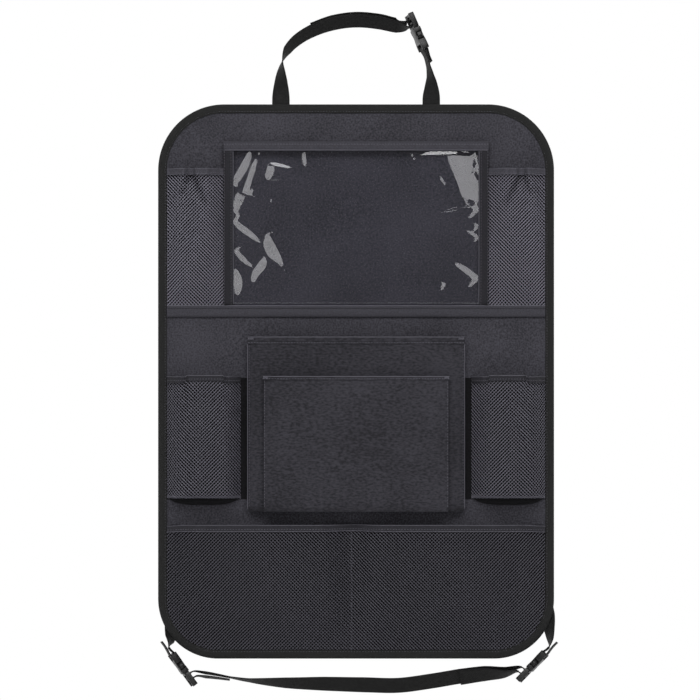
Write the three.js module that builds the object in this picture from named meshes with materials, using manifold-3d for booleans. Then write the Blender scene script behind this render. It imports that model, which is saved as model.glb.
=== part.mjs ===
import * as THREE from 'three';
import { mergeVertices } from 'three/addons/utils/BufferGeometryUtils.js';
import Module from 'manifold-3d';

// Car seat back organizer: a sewn panel that hangs on the back of a front seat.
// Millimetres, +Z up. The pockets face -Y and the seat is on the +Y side.
// The origin is the centre of the panel's flat back face.

// Panel and its folded edge binding
const PANEL_WIDTH = 450;
const PANEL_HEIGHT = 630;
const PANEL_THICKNESS = 4;
const TOP_CORNER_RADIUS = 75;
const BOTTOM_CORNER_RADIUS = 68;
const CORNER_STEPS = 10;
const BINDING_LEG = 10;
const BINDING_THICKNESS = 1;
const BINDING_PROUD = 0.6;
const SEAM_WIDTH = 1.2;
const SEAM_DEPTH = 0.4;

// Clearance between pieces that touch when sewn or threaded
const CLEARANCE = 0.3;

// Tape that crosses the panel below the upper pockets
const DIVIDER_BOTTOM = 73.4;
const DIVIDER_HEIGHT = 13;
const TAPE_THICKNESS = 1.4;
const DIVIDER_SEAM_DROP = 4;

// Tablet pocket with a clear film window
const TABLET_POCKET_WIDTH = 300;
const TABLET_POCKET_TOP = 272;
const TABLET_POCKET_DEPTH = 8;
const WINDOW_TAPE_WIDTH = 10.5;
const FILM_THICKNESS = 0.6;
const FILM_RISE = 14;

// Mesh pockets
const MESH_THICKNESS = 1;
const HEM_THICKNESS = 1;
const HEM_HEIGHT = 7.5;
const STANDOFF_RISE = 30;
const FOOT_ROW_POWER = 1.4;
const UPPER_MESH_TOP = 241.6;
const UPPER_MESH_DEPTH = 14;
const UPPER_MESH_ROWS = 12;
const UPPER_GATHER_DEPTH = 1.6;
const UPPER_GATHER_PITCH = 13;
const UPPER_GATHER_LENGTH = 45;
const UPPER_FOOT_SHARE = 0.35;
const UPPER_SIDE_REACH = 18;
const UPPER_FOOT_ROOM = 4;
const LOWER_MESH_TOP = 8;
const LOWER_MESH_BOTTOM = -133;
const LOWER_MESH_INNER_X = 131;
const LOWER_MESH_DEPTH = 28;
const LOWER_MESH_ROWS = 14;
const LOWER_HEM_SHARE = 0.85;
const LOWER_BELLY_DROP = 60;
const LOWER_SIDE_REACH = 12;
const LOWER_FOOT_REACH = 9;
const LOWER_PLEAT_X = [147, 192.5];
const LOWER_PLEAT_DEPTH = 4;
const LOWER_PLEAT_LENGTH = 55;
const LOWER_PLEAT_WIDTH = 3.5;
const BOTTOM_MESH_TOP = -162;
const BOTTOM_MESH_DEPTH = 13;
const BOTTOM_MESH_ROWS = 12;
const BOTTOM_SEAM_X = -5;
const BOTTOM_SIDE_REACH = 34;
const BOTTOM_FOOT_REACH = 60;

// Document pocket and the smaller pocket on its front
const DOCUMENT_POCKET_WIDTH = 247;
const DOCUMENT_POCKET_TOP = 51.2;
const DOCUMENT_POCKET_BOTTOM = -147.7;
const DOCUMENT_POCKET_DEPTH = 18;
const FRONT_POCKET_WIDTH = 212;
const FRONT_POCKET_TOP = 6.7;
const FRONT_POCKET_BOTTOM = -146.6;
const FRONT_POCKET_DEPTH = 11;
const POCKET_CLOTH = 1.4;
const POCKET_FLANGE = 9;
const GUSSET_FOLD = 6;
const POCKET_HEM_HEIGHT = 9;
const POCKET_HEM_THICKNESS = 0.8;

// Webbing
const WEBBING_WIDTH = 20;
const WEBBING_THICKNESS = 1.3;
const WEBBING_GAP = 1.5;
const WEBBING_GAP_AT_BUCKLE = 3.2;
const STRAP_PLANE_Y = 0.5;
const TOP_LEG_X = 85.5;
const TOP_LEG_SEWN_LENGTH = 40;
const TOP_LEG_SEAM_INSET = 10;
const TOP_LEG_LEAD = 4;
const TOP_ARCH_RISE = 95.3;
const LOWER_TAIL_SEWN_LENGTH = 40;
const LOWER_TAIL_BOW = 5.2;
const LEFT_TAIL_RISE = 90;
const RIGHT_TAIL_RISE = 100;
const LOWER_STRAP_DROP = 30;

// Side-release buckles
const BUCKLE_LENGTH = 44;
const BUCKLE_WIDTH = 27;
const BUCKLE_THICKNESS = 8;
const SOCKET_LENGTH = 26;
const PLUG_THICKNESS = 6;
const BAR_SIZE = 3.2;
const SLOT_SIDE_ROOM = 0.6;
const BUCKLE_WALL = 1.8;
const CAVITY_HEIGHT = 5;
const BAR_SLOT = 3.8;
const SHELL_STEP = 1.2;
const CORNER_CHAMFER = 1;
const PRONG_WINDOW_START = 12;
const PRONG_WINDOW_LENGTH = 9.2;
const PRONG_WINDOW_INNER = 7;
const WAIST_RADIUS = 6;
const WAIST_CENTRE = 16.6;
const WAIST_OFFSET = 2.4;
const MIDDLE_BAR_CENTRE = 33.7;
const BODY_SLOT_START = 29;
const PRONG_TIP = 9.4;
const TONGUE_HALF_WIDTH = 1.8;
const SOCKET_LEAD = 7;
const SOCKET_RUN = 16;
const SOCKET_TAIL_RUN = 18;
const SOCKET_RUN_GAP = 1.2;
const PLUG_LEAD = 3.4;
const PLUG_DROP = 7;

// Colours, seen as near-black polyester, clear film and moulded plastic
const PANEL_COLOUR = 0x3d3d42;
const BINDING_COLOUR = 0x2b2b2e;
const TAPE_COLOUR = 0x39393d;
const FILM_COLOUR = 0x55555c;
const MESH_COLOUR = 0x35353a;
const POCKET_COLOUR = 0x38383c;
const WEBBING_COLOUR = 0x1f1f21;
const BUCKLE_COLOUR = 0x121213;

// Places worked out from the sizes above
const HALF_WIDTH = PANEL_WIDTH / 2;
const HALF_HEIGHT = PANEL_HEIGHT / 2;
const INNER_X = HALF_WIDTH - BINDING_LEG - CLEARANCE;
const PANEL_FRONT = -PANEL_THICKNESS;
const CLOTH_BASE = PANEL_THICKNESS + CLEARANCE;
const HEM_STANDOFF = HEM_THICKNESS + CLEARANCE;
const DIVIDER_TOP = DIVIDER_BOTTOM + DIVIDER_HEIGHT;
const TABLET_HALF = TABLET_POCKET_WIDTH / 2;
const UPPER_CLOTH_BOTTOM = DIVIDER_BOTTOM + 2;
const WEBBING_LOOP_RADIUS = BAR_SIZE / 2 + CLEARANCE + WEBBING_THICKNESS / 2;
const SLOT_HALF_WIDTH = WEBBING_WIDTH / 2 + SLOT_SIDE_ROOM;
const BACK_WEBBING_Y = CLEARANCE + WEBBING_THICKNESS / 2;
const TAIL_DISTANCE = WEBBING_THICKNESS + WEBBING_GAP;
const TAIL_DISTANCE_AT_BUCKLE = WEBBING_THICKNESS + WEBBING_GAP_AT_BUCKLE;

const wasm = await Module();
wasm.setup();

// Turns a closed three.js geometry into a solid that can be joined and cut.
function toSolid(geometry) {
  const bare = geometry.index ? geometry.toNonIndexed() : geometry.clone();
  bare.deleteAttribute('normal');
  bare.deleteAttribute('uv');
  const welded = mergeVertices(bare, 1e-4);
  return new wasm.Manifold(new wasm.Mesh({
    numProp: 3,
    vertProperties: new Float32Array(welded.attributes.position.array),
    triVerts: new Uint32Array(welded.index.array),
  }));
}

function toGeometry(solid) {
  const mesh = solid.getMesh();
  const geometry = new THREE.BufferGeometry();
  geometry.setAttribute('position', new THREE.BufferAttribute(mesh.vertProperties, 3));
  geometry.setIndex(new THREE.BufferAttribute(mesh.triVerts, 1));
  geometry.computeVertexNormals();
  return geometry;
}

function join(geometries) {
  return toGeometry(geometries.map(toSolid).reduce((sum, solid) => sum.add(solid)));
}

function cut(geometry, tools) {
  return toGeometry(tools.map(toSolid).reduce((rest, tool) => rest.subtract(tool), toSolid(geometry)));
}

function named(name, geometry, color, roughness = 0.85) {
  const material = new THREE.MeshStandardMaterial({ color, roughness, metalness: 0 });
  const mesh = new THREE.Mesh(geometry, material);
  mesh.name = name;
  return mesh;
}

function range(count) {
  return Array.from({ length: count }, (_, i) => i);
}

// Rises smoothly from 0 to 1 while distance goes from 0 to reach.
function ease(distance, reach) {
  const t = THREE.MathUtils.clamp(distance / reach, 0, 1);
  return t * t * (3 - 2 * t);
}

function signedArea(a, b, c) {
  return (b.x - a.x) * (c.y - a.y) - (b.y - a.y) * (c.x - a.x);
}

// Builds a closed body with its faces pointing out.
function closedBody(points, triangles) {
  const volume = triangles.reduce((sum, [a, b, c]) => {
    const normal = new THREE.Vector3().crossVectors(points[b], points[c]);
    return sum + points[a].dot(normal);
  }, 0);
  const outward = volume > 0 ? triangles : triangles.map(([a, b, c]) => [c, b, a]);
  const geometry = new THREE.BufferGeometry();
  geometry.setAttribute('position', new THREE.Float32BufferAttribute(points.flatMap((p) => [p.x, p.y, p.z]), 3));
  geometry.setIndex(outward.flat());
  geometry.computeVertexNormals();
  return geometry;
}

// Lofts a body through rings that all follow one flat section; a closed loft runs back to its start.
// Both halves of the section slant their triangles the same way, so a thin twisted strip stays even.
function loft(rings, section, closed = false) {
  const size = section.length;
  const triangles = [];
  for (const r of range(closed ? rings.length : rings.length - 1)) {
    const near = r * size;
    const far = ((r + 1) % rings.length) * size;
    for (const k of range(size)) {
      const next = (k + 1) % size;
      const [a, b, c, d] = [near + k, near + next, far + next, far + k];
      triangles.push(...(k < size / 2 ? [[a, b, c], [a, c, d]] : [[a, b, d], [b, c, d]]));
    }
  }
  if (!closed) {
    const last = (rings.length - 1) * size;
    const turn = THREE.ShapeUtils.area(section);
    for (const [a, b, c] of THREE.ShapeUtils.triangulateShape(section, [])) {
      const [p, q] = signedArea(section[a], section[b], section[c]) * turn > 0 ? [b, c] : [c, b];
      triangles.push([q, p, a], [last + a, last + p, last + q]);
    }
  }
  return closedBody(rings.flat(), triangles);
}

// A band of even thickness along a line of points, on the line's left side.
function bandOutline(line, thickness) {
  const side = line.map((point, i) => {
    const before = line[Math.max(i - 1, 0)];
    const after = line[Math.min(i + 1, line.length - 1)];
    const arriving = i > 0 ? point.clone().sub(before).normalize() : after.clone().sub(point).normalize();
    const leaving = i < line.length - 1 ? after.clone().sub(point).normalize() : arriving.clone();
    const mitre = new THREE.Vector2(-arriving.y - leaving.y, arriving.x + leaving.x).normalize();
    const spread = mitre.dot(new THREE.Vector2(-arriving.y, arriving.x));
    return point.clone().addScaledVector(mitre, thickness / spread);
  });
  return [...line, ...side.reverse()];
}

// Extrudes an (x, z) outline along -Y from the given back plane.
function plate(outline, back, thickness) {
  const geometry = new THREE.ExtrudeGeometry(new THREE.Shape(outline), { depth: thickness, bevelEnabled: false });
  return geometry.rotateX(Math.PI / 2).translate(0, back, 0);
}

// Extrudes a (y, z) outline along X.
function sideProfile(outline, fromX, toX) {
  const shape = new THREE.Shape(outline);
  const geometry = new THREE.ExtrudeGeometry(shape, { depth: toX - fromX, bevelEnabled: false });
  const turn = new THREE.Matrix4().makeBasis(
    new THREE.Vector3(0, 1, 0),
    new THREE.Vector3(0, 0, 1),
    new THREE.Vector3(1, 0, 0),
  );
  return geometry.applyMatrix4(turn).translate(fromX, 0, 0);
}

// Extrudes an (x, y) outline along Z.
function column(outline, fromZ, toZ) {
  const shape = new THREE.Shape(outline);
  const geometry = new THREE.ExtrudeGeometry(shape, { depth: toZ - fromZ, bevelEnabled: false });
  return geometry.translate(0, 0, fromZ);
}

function box(x0, x1, y0, y1, z0, z1) {
  return new THREE.BoxGeometry(x1 - x0, y1 - y0, z1 - z0)
    .translate((x0 + x1) / 2, (y0 + y1) / 2, (z0 + z1) / 2);
}

function points2D(pairs) {
  return pairs.map(([x, y]) => new THREE.Vector2(x, y));
}

// The panel's outline moved inwards by the given inset, with the same number of points each time.
function panelOutline(inset) {
  const corners = [
    { sideX: 1, sideZ: 1, radius: TOP_CORNER_RADIUS, start: 0 },
    { sideX: -1, sideZ: 1, radius: TOP_CORNER_RADIUS, start: Math.PI / 2 },
    { sideX: -1, sideZ: -1, radius: BOTTOM_CORNER_RADIUS, start: Math.PI },
    { sideX: 1, sideZ: -1, radius: BOTTOM_CORNER_RADIUS, start: 1.5 * Math.PI },
  ];
  return corners.flatMap(({ sideX, sideZ, radius, start }) => range(CORNER_STEPS + 1).map((i) => {
    const angle = start + (i / CORNER_STEPS) * (Math.PI / 2);
    return new THREE.Vector2(
      sideX * (HALF_WIDTH - radius) + (radius - inset) * Math.cos(angle),
      sideZ * (HALF_HEIGHT - radius) + (radius - inset) * Math.sin(angle),
    );
  }));
}

// Half the panel's width at a height, inside the given inset, where the lower corners round it off.
function halfWidthAt(z, inset) {
  const cornerCentre = -HALF_HEIGHT + BOTTOM_CORNER_RADIUS;
  const radius = BOTTOM_CORNER_RADIUS - inset;
  const below = Math.min(Math.max(cornerCentre - z, 0), radius);
  return HALF_WIDTH - BOTTOM_CORNER_RADIUS + Math.sqrt(radius * radius - below * below);
}

// Panel: a padded core with a thin rim that the binding grips, and seams sewn through its back.
function backPanel() {
  const rimBack = -(BINDING_THICKNESS + CLEARANCE);
  const rimFront = -(PANEL_THICKNESS + BINDING_PROUD) + BINDING_THICKNESS + CLEARANCE;
  const core = plate(panelOutline(BINDING_LEG + CLEARANCE), 0, PANEL_THICKNESS);
  const rim = plate(panelOutline(BINDING_THICKNESS + CLEARANCE), rimBack, rimBack - rimFront);
  const seamX = DOCUMENT_POCKET_WIDTH / 2 - POCKET_FLANGE / 2;
  const seamTop = DIVIDER_TOP - DIVIDER_SEAM_DROP;
  const seamBottom = DOCUMENT_POCKET_BOTTOM;
  const half = SEAM_WIDTH / 2;
  const across = (reach, z) => box(-reach, reach, -SEAM_DEPTH, 1, z - half, z + half);
  const upright = (x) => box(x - half, x + half, -SEAM_DEPTH, 1, seamBottom, seamTop);
  const seams = [across(INNER_X, seamTop), across(seamX, seamBottom), upright(-seamX), upright(seamX)];
  return named('back_panel', cut(join([core, rim]), seams), PANEL_COLOUR);
}

// Binding: one tape folded over the panel's edge, the same U all the way round.
function edgeBinding() {
  const front = -(PANEL_THICKNESS + BINDING_PROUD);
  const section = points2D([
    [0, 0],
    [BINDING_LEG, 0],
    [BINDING_LEG, -BINDING_THICKNESS],
    [BINDING_THICKNESS, -BINDING_THICKNESS],
    [BINDING_THICKNESS, front + BINDING_THICKNESS],
    [BINDING_LEG, front + BINDING_THICKNESS],
    [BINDING_LEG, front],
    [0, front],
  ]);
  const outlines = section.map(({ x: inset }) => panelOutline(inset));
  const rings = outlines[0].map((_, i) => section.map(({ y }, k) => (
    new THREE.Vector3(outlines[k][i].x, y, outlines[k][i].y))));
  return named('edge_binding', loft(rings, section, true), BINDING_COLOUR);
}

// Divider: a flat tape sewn over the lower edges of the film and the upper mesh pockets.
function dividerBand() {
  const back = -(CLOTH_BASE + MESH_THICKNESS + CLEARANCE);
  const front = back - TAPE_THICKNESS;
  const seam = DIVIDER_TOP - DIVIDER_SEAM_DROP;
  const profile = points2D([
    [back, DIVIDER_BOTTOM],
    [back, DIVIDER_TOP],
    [front, DIVIDER_TOP],
    [front, seam + SEAM_WIDTH / 2],
    [front + SEAM_DEPTH, seam],
    [front, seam - SEAM_WIDTH / 2],
    [front, DIVIDER_BOTTOM],
  ]);
  return named('divider_band', sideProfile(profile, -INNER_X, INNER_X), TAPE_COLOUR);
}

// The line in (y, z) that the film's back follows, from its sewn lower edge up to its open mouth.
function filmLine(fromZ, toZ, forward) {
  const rise = DIVIDER_TOP + FILM_RISE;
  return points2D([
    [-(CLOTH_BASE + forward), fromZ],
    [-(CLOTH_BASE + forward), DIVIDER_TOP],
    [-(CLOTH_BASE + TABLET_POCKET_DEPTH + forward), rise],
    [-(CLOTH_BASE + TABLET_POCKET_DEPTH + forward), toZ],
  ]);
}

function tabletWindow() {
  const halfWidth = TABLET_HALF - TAPE_THICKNESS - CLEARANCE;
  const top = TABLET_POCKET_TOP - TAPE_THICKNESS - CLEARANCE;
  const outline = bandOutline(filmLine(UPPER_CLOTH_BOTTOM, top, 0), FILM_THICKNESS);
  return named('tablet_window', sideProfile(outline, -halfWidth, halfWidth), FILM_COLOUR, 0.15);
}

// Side tape: one leg lies on the film and the other stands back to the panel.
function windowSideTape(name, side) {
  const top = TABLET_POCKET_TOP - WINDOW_TAPE_WIDTH - CLEARANCE;
  const bottom = DIVIDER_TOP + CLEARANCE;
  const onFilm = FILM_THICKNESS + CLEARANCE;
  const leg = bandOutline(filmLine(bottom, top, onFilm).slice(1), TAPE_THICKNESS);
  leg[0].y = bottom;
  leg[leg.length - 1].y = bottom;
  const wall = [
    new THREE.Vector2(PANEL_FRONT - CLEARANCE, bottom),
    ...leg.slice(3).reverse(),
    new THREE.Vector2(PANEL_FRONT - CLEARANCE, top),
  ];
  const spans = [TABLET_HALF - WINDOW_TAPE_WIDTH, TABLET_HALF - TAPE_THICKNESS, TABLET_HALF];
  const [inner, step, outer] = spans.map((x) => side * x);
  const legBody = sideProfile(leg, Math.min(inner, outer), Math.max(inner, outer));
  const wallBody = sideProfile(wall, Math.min(step, outer), Math.max(step, outer));
  return named(name, join([legBody, wallBody]), TAPE_COLOUR);
}

// A U-shaped fold over a top edge: section in (distance off the panel, z).
function foldSection(off, inside, thickness, top, height) {
  return points2D([
    [off - CLEARANCE - thickness, top - height],
    [off - CLEARANCE, top - height],
    [off - CLEARANCE, top - thickness],
    [off + inside + CLEARANCE, top - thickness],
    [off + inside + CLEARANCE, top - height],
    [off + inside + CLEARANCE + thickness, top - height],
    [off + inside + CLEARANCE + thickness, top],
    [off - CLEARANCE - thickness, top],
  ]);
}

function windowTopTape() {
  const off = CLOTH_BASE + TABLET_POCKET_DEPTH;
  const section = foldSection(off, FILM_THICKNESS, TAPE_THICKNESS, TABLET_POCKET_TOP, WINDOW_TAPE_WIDTH);
  const outline = section.map(({ x, y }) => new THREE.Vector2(-x, y));
  return named('window_tape_top', sideProfile(outline, -TABLET_HALF, TABLET_HALF), TAPE_COLOUR);
}

// A mesh wall over the panel: place(u, v) gives its (x, z) and bulge(x, z) how far it stands off.
function meshWall(name, columns, rows, place, bulge) {
  const grid = range(rows + 1).flatMap((j) => range(columns + 1).map((i) => place(i / columns, j / rows)));
  const layer = (extra) => grid.map(({ x, y: z }) => (
    new THREE.Vector3(x, -(CLOTH_BASE + bulge(x, z) + extra), z)));
  const size = grid.length;
  const at = (i, j) => j * (columns + 1) + i;
  const triangles = [];
  for (const j of range(rows)) {
    for (const i of range(columns)) {
      const [a, b, c, d] = [at(i, j), at(i + 1, j), at(i + 1, j + 1), at(i, j + 1)];
      triangles.push([a, b, c], [a, c, d], [size + c, size + b, size + a], [size + d, size + c, size + a]);
    }
  }
  const rim = [
    ...range(columns).map((i) => at(i, 0)),
    ...range(rows).map((j) => at(columns, j)),
    ...range(columns).map((i) => at(columns - i, rows)),
    ...range(rows).map((j) => at(0, rows - j)),
  ];
  rim.forEach((a, k) => {
    const b = rim[(k + 1) % rim.length];
    triangles.push([a, size + a, b], [b, size + a, size + b]);
  });
  return named(name, closedBody([...layer(MESH_THICKNESS), ...layer(0)], triangles), MESH_COLOUR);
}

// A hem folded over the top edge of a mesh wall, following its bulge.
function meshHem(name, fromX, toX, top, steps, bulge) {
  const section = foldSection(CLOTH_BASE, MESH_THICKNESS, HEM_THICKNESS, top, HEM_HEIGHT);
  const rings = range(steps + 1).map((i) => {
    const x = THREE.MathUtils.lerp(fromX, toX, i / steps);
    const off = bulge(x, top);
    return section.map(({ x: out, y: z }) => new THREE.Vector3(x, -(out + off), z));
  });
  return named(name, loft(rings, section), TAPE_COLOUR);
}

// How far a mesh wall stands off above its sewn edge, so that the hem's back leg fits behind it.
function standoff(z, start) {
  return HEM_STANDOFF * ease(z - start, STANDOFF_RISE);
}

function meshTop(top) {
  return top - HEM_THICKNESS - CLEARANCE;
}

// The wall keeps one shape from this height up, where the hem holds it.
function hemLine(top) {
  return top - HEM_HEIGHT - 1;
}

// Height of a mesh wall's row: closer together near the foot, and the last row but one is at the hem line.
function rowHeight(v, rows, bottom, top) {
  const belowHem = (v * rows) / (rows - 1);
  const height = THREE.MathUtils.lerp(bottom, hemLine(top), belowHem ** FOOT_ROW_POWER);
  return v === 1 ? meshTop(top) : height;
}

function upperMeshPocket(label, side) {
  const outer = INNER_X;
  const inner = TABLET_HALF + CLEARANCE;
  const middle = (outer + inner) / 2;
  const bottom = UPPER_CLOTH_BOTTOM;
  const foot = DIVIDER_TOP + UPPER_FOOT_ROOM;
  const bulge = (x, z) => {
    const fromSide = Math.min(outer - Math.abs(x), Math.abs(x) - inner);
    const rise = ease(z - foot, UPPER_MESH_TOP - foot);
    const wave = Math.cos(((Math.abs(x) - middle) / UPPER_GATHER_PITCH) * 2 * Math.PI);
    const gather = UPPER_GATHER_DEPTH * wave * ease(z - UPPER_MESH_TOP + UPPER_GATHER_LENGTH, UPPER_GATHER_LENGTH);
    const depth = UPPER_MESH_DEPTH * THREE.MathUtils.lerp(UPPER_FOOT_SHARE, 1, rise) + gather;
    return standoff(z, foot) + depth * ease(fromSide, UPPER_SIDE_REACH) * ease(z - foot, UPPER_SIDE_REACH);
  };
  const [left, right] = side < 0 ? [-outer, -inner] : [inner, outer];
  const place = (u, v) => new THREE.Vector2(
    THREE.MathUtils.lerp(left, right, u),
    rowHeight(v, UPPER_MESH_ROWS, bottom, UPPER_MESH_TOP),
  );
  const line = hemLine(UPPER_MESH_TOP);
  return [
    meshWall(`upper_${label}_mesh`, 20, UPPER_MESH_ROWS, place, (x, z) => bulge(x, Math.min(z, line))),
    meshHem(`upper_${label}_hem`, left, right, UPPER_MESH_TOP, 20, (x) => bulge(x, line)),
  ];
}

function lowerMeshPocket(label, side) {
  const outer = INNER_X;
  const inner = LOWER_MESH_INNER_X;
  const pleat = (x, z) => {
    const fade = 1 - ease(LOWER_MESH_TOP - z, LOWER_PLEAT_LENGTH);
    const dips = LOWER_PLEAT_X.map((at) => 1 - ease(Math.abs(Math.abs(x) - at), LOWER_PLEAT_WIDTH));
    return LOWER_PLEAT_DEPTH * Math.max(...dips) * fade;
  };
  const bulge = (x, z) => {
    const fromSide = Math.min(outer - Math.abs(x), Math.abs(x) - inner);
    const fromBottom = z - LOWER_MESH_BOTTOM;
    const belly = THREE.MathUtils.lerp(LOWER_HEM_SHARE, 1, ease(LOWER_MESH_TOP - z, LOWER_BELLY_DROP));
    const edges = ease(fromSide, LOWER_SIDE_REACH) * ease(fromBottom, LOWER_FOOT_REACH);
    const body = LOWER_MESH_DEPTH * belly * edges;
    return standoff(z, LOWER_MESH_BOTTOM) + Math.max(body - pleat(x, z), 0);
  };
  const line = hemLine(LOWER_MESH_TOP);
  const [left, right] = side < 0 ? [-outer, -inner] : [inner, outer];
  const place = (u, v) => new THREE.Vector2(
    THREE.MathUtils.lerp(left, right, u),
    rowHeight(v, LOWER_MESH_ROWS, LOWER_MESH_BOTTOM, LOWER_MESH_TOP),
  );
  return [
    meshWall(`lower_${label}_mesh`, 28, LOWER_MESH_ROWS, place, (x, z) => bulge(x, Math.min(z, line))),
    meshHem(`lower_${label}_hem`, left, right, LOWER_MESH_TOP, 28, (x) => bulge(x, line)),
  ];
}

// Bottom mesh pocket: one net sewn down along its centre, so that it makes two compartments.
function bottomMeshPocket() {
  const inset = BINDING_LEG + CLEARANCE;
  const bottom = -HALF_HEIGHT + inset;
  const bulge = (x, z) => {
    const fromEdge = halfWidthAt(z, inset) - Math.abs(x);
    const fromSeam = Math.abs(x - BOTTOM_SEAM_X);
    const sides = ease(fromEdge, BOTTOM_SIDE_REACH) * ease(fromSeam, BOTTOM_SIDE_REACH);
    return standoff(z, bottom) + BOTTOM_MESH_DEPTH * sides * ease(z - bottom, BOTTOM_FOOT_REACH);
  };
  const line = hemLine(BOTTOM_MESH_TOP);
  const place = (u, v) => {
    const z = rowHeight(v, BOTTOM_MESH_ROWS, bottom, BOTTOM_MESH_TOP);
    return new THREE.Vector2(THREE.MathUtils.lerp(-1, 1, u) * halfWidthAt(z, inset), z);
  };
  return [
    meshWall('bottom_mesh', 32, BOTTOM_MESH_ROWS, place, (x, z) => bulge(x, Math.min(z, line))),
    meshHem('bottom_hem', -INNER_X, INNER_X, BOTTOM_MESH_TOP, 32, (x) => bulge(x, line)),
  ];
}

// A box pocket of one cloth: front wall, gussets folded in a V and flanges sewn to what carries it.
function gussetedPocket(name, width, top, bottom, depth, carrier) {
  const half = width / 2;
  const back = carrier - CLEARANCE;
  const front = back - depth;
  const middle = (back + front) / 2;
  const path = points2D([
    [-half + POCKET_FLANGE, back],
    [-half + 0.5, back],
    [-half + GUSSET_FOLD, middle],
    [-half, front],
    [half, front],
    [half - GUSSET_FOLD, middle],
    [half - 0.5, back],
    [half - POCKET_FLANGE, back],
  ]);
  const walls = column(bandOutline(path, POCKET_CLOTH), bottom, top);
  const floor = column(path, bottom, bottom + POCKET_CLOTH);
  const hemFront = front - POCKET_HEM_THICKNESS;
  const hem = box(-half, half, hemFront, front + POCKET_CLOTH / 2, top - POCKET_HEM_HEIGHT, top);
  return named(name, join([walls, floor, hem]), POCKET_COLOUR);
}

// A place on a strap: its centre and the direction across its width.
function station(x, y, z, acrossX, acrossY, acrossZ) {
  return { at: new THREE.Vector3(x, y, z), across: new THREE.Vector3(acrossX, acrossY, acrossZ).normalize() };
}

// Flat webbing lofted through its stations, smooth between them.
function webbing(name, stations, samplesPerSpan = 2) {
  const line = new THREE.CatmullRomCurve3(stations.map(({ at }) => at), false, 'centripetal');
  const spans = stations.length - 1;
  const section = points2D([
    [-WEBBING_WIDTH / 2, -WEBBING_THICKNESS / 2],
    [WEBBING_WIDTH / 2, -WEBBING_THICKNESS / 2],
    [WEBBING_WIDTH / 2, WEBBING_THICKNESS / 2],
    [-WEBBING_WIDTH / 2, WEBBING_THICKNESS / 2],
  ]);
  const rings = range(spans * samplesPerSpan + 1).map((i) => {
    const along = i / samplesPerSpan;
    const span = Math.min(Math.floor(along), spans - 1);
    const tangent = line.getTangent(along / spans);
    const across = stations[span].across.clone().lerp(stations[span + 1].across, along - span).normalize();
    const normal = new THREE.Vector3().crossVectors(tangent, across).normalize();
    const width = new THREE.Vector3().crossVectors(normal, tangent).normalize();
    const centre = line.getPoint(along / spans);
    return section.map(({ x, y }) => centre.clone().addScaledVector(width, x).addScaledVector(normal, y));
  });
  return named(name, loft(rings, section), WEBBING_COLOUR);
}

// A second layer beside a run of stations, off it by a distance that changes from first to last.
function layerOn(stations, first, last) {
  return stations.map(({ at, across }, i) => {
    const before = stations[Math.max(i - 1, 0)].at;
    const after = stations[Math.min(i + 1, stations.length - 1)].at;
    const tangent = after.clone().sub(before).normalize();
    const normal = new THREE.Vector3().crossVectors(tangent, across).normalize();
    const distance = THREE.MathUtils.lerp(first, last, i / (stations.length - 1));
    return { at: at.clone().addScaledVector(normal, distance), across: across.clone() };
  });
}

// A buckle's own axes: along from the socket's bar to the plug's end, across its width, and its normal.
function buckleFrame(x, z, alongX, alongZ, facing, tilt) {
  const along = new THREE.Vector3(alongX, 0, alongZ).normalize();
  const level = new THREE.Vector3(0, facing, 0);
  const levelNormal = new THREE.Vector3().crossVectors(along, level);
  const across = level.multiplyScalar(Math.cos(tilt)).addScaledVector(levelNormal, Math.sin(tilt));
  const normal = new THREE.Vector3().crossVectors(along, across);
  const matrix = new THREE.Matrix4().makeBasis(along, across, normal).setPosition(x, STRAP_PLANE_Y, z);
  return { matrix, across };
}

function inFrame(frame, pairs, acrossSign = 1) {
  return pairs.map(([s, n]) => ({
    at: new THREE.Vector3(s, 0, n).applyMatrix4(frame.matrix),
    across: frame.across.clone().multiplyScalar(acrossSign),
  }));
}

// Webbing that turns round the socket's end bar and comes back along itself.
function socketLoop(frame, run, acrossSign = 1) {
  const centre = BAR_SIZE / 2;
  const turn = [-90, -45, 0, 45, 90].map((degrees) => {
    const angle = THREE.MathUtils.degToRad(degrees);
    return [centre + WEBBING_LOOP_RADIUS * Math.cos(angle), WEBBING_LOOP_RADIUS * Math.sin(angle)];
  });
  const arrive = [[-SOCKET_LEAD, -BAR_SIZE / 2]];
  const leave = [[-SOCKET_LEAD, BAR_SIZE / 2], [-run * 0.6, SOCKET_RUN_GAP], [-run, SOCKET_RUN_GAP]];
  return inFrame(frame, [...arrive, ...turn, ...leave], acrossSign);
}

// Webbing that rises through the slot beside the plug's body, over the middle bar and down again.
function plugLoop(frame, acrossSign = 1) {
  const turn = [180, 135, 90, 45, 0].map((degrees) => {
    const angle = THREE.MathUtils.degToRad(degrees);
    return [
      MIDDLE_BAR_CENTRE + WEBBING_LOOP_RADIUS * Math.cos(angle),
      WEBBING_LOOP_RADIUS * Math.sin(angle),
    ];
  });
  const arrive = [[MIDDLE_BAR_CENTRE - PLUG_LEAD, -PLUG_DROP]];
  const leave = [[MIDDLE_BAR_CENTRE + PLUG_LEAD, -PLUG_DROP]];
  return inFrame(frame, [...arrive, ...turn, ...leave], acrossSign);
}

function mirrored(points) {
  return [...points, ...points.map(([s, t]) => [s, -t]).reverse()];
}

function slab(outline, height) {
  const shape = new THREE.Shape(points2D(outline));
  return new THREE.ExtrudeGeometry(shape, { depth: height, bevelEnabled: false }).translate(0, 0, -height / 2);
}

// Removes the plastic above and below the bars, so that only the bars cross between the side rails.
function barRelief(from, to) {
  return [-1, 1].map((side) => box(
    from, to, -SLOT_HALF_WIDTH, SLOT_HALF_WIDTH,
    side > 0 ? BAR_SIZE / 2 : -BUCKLE_THICKNESS, side > 0 ? BUCKLE_THICKNESS : -BAR_SIZE / 2,
  ));
}

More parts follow.
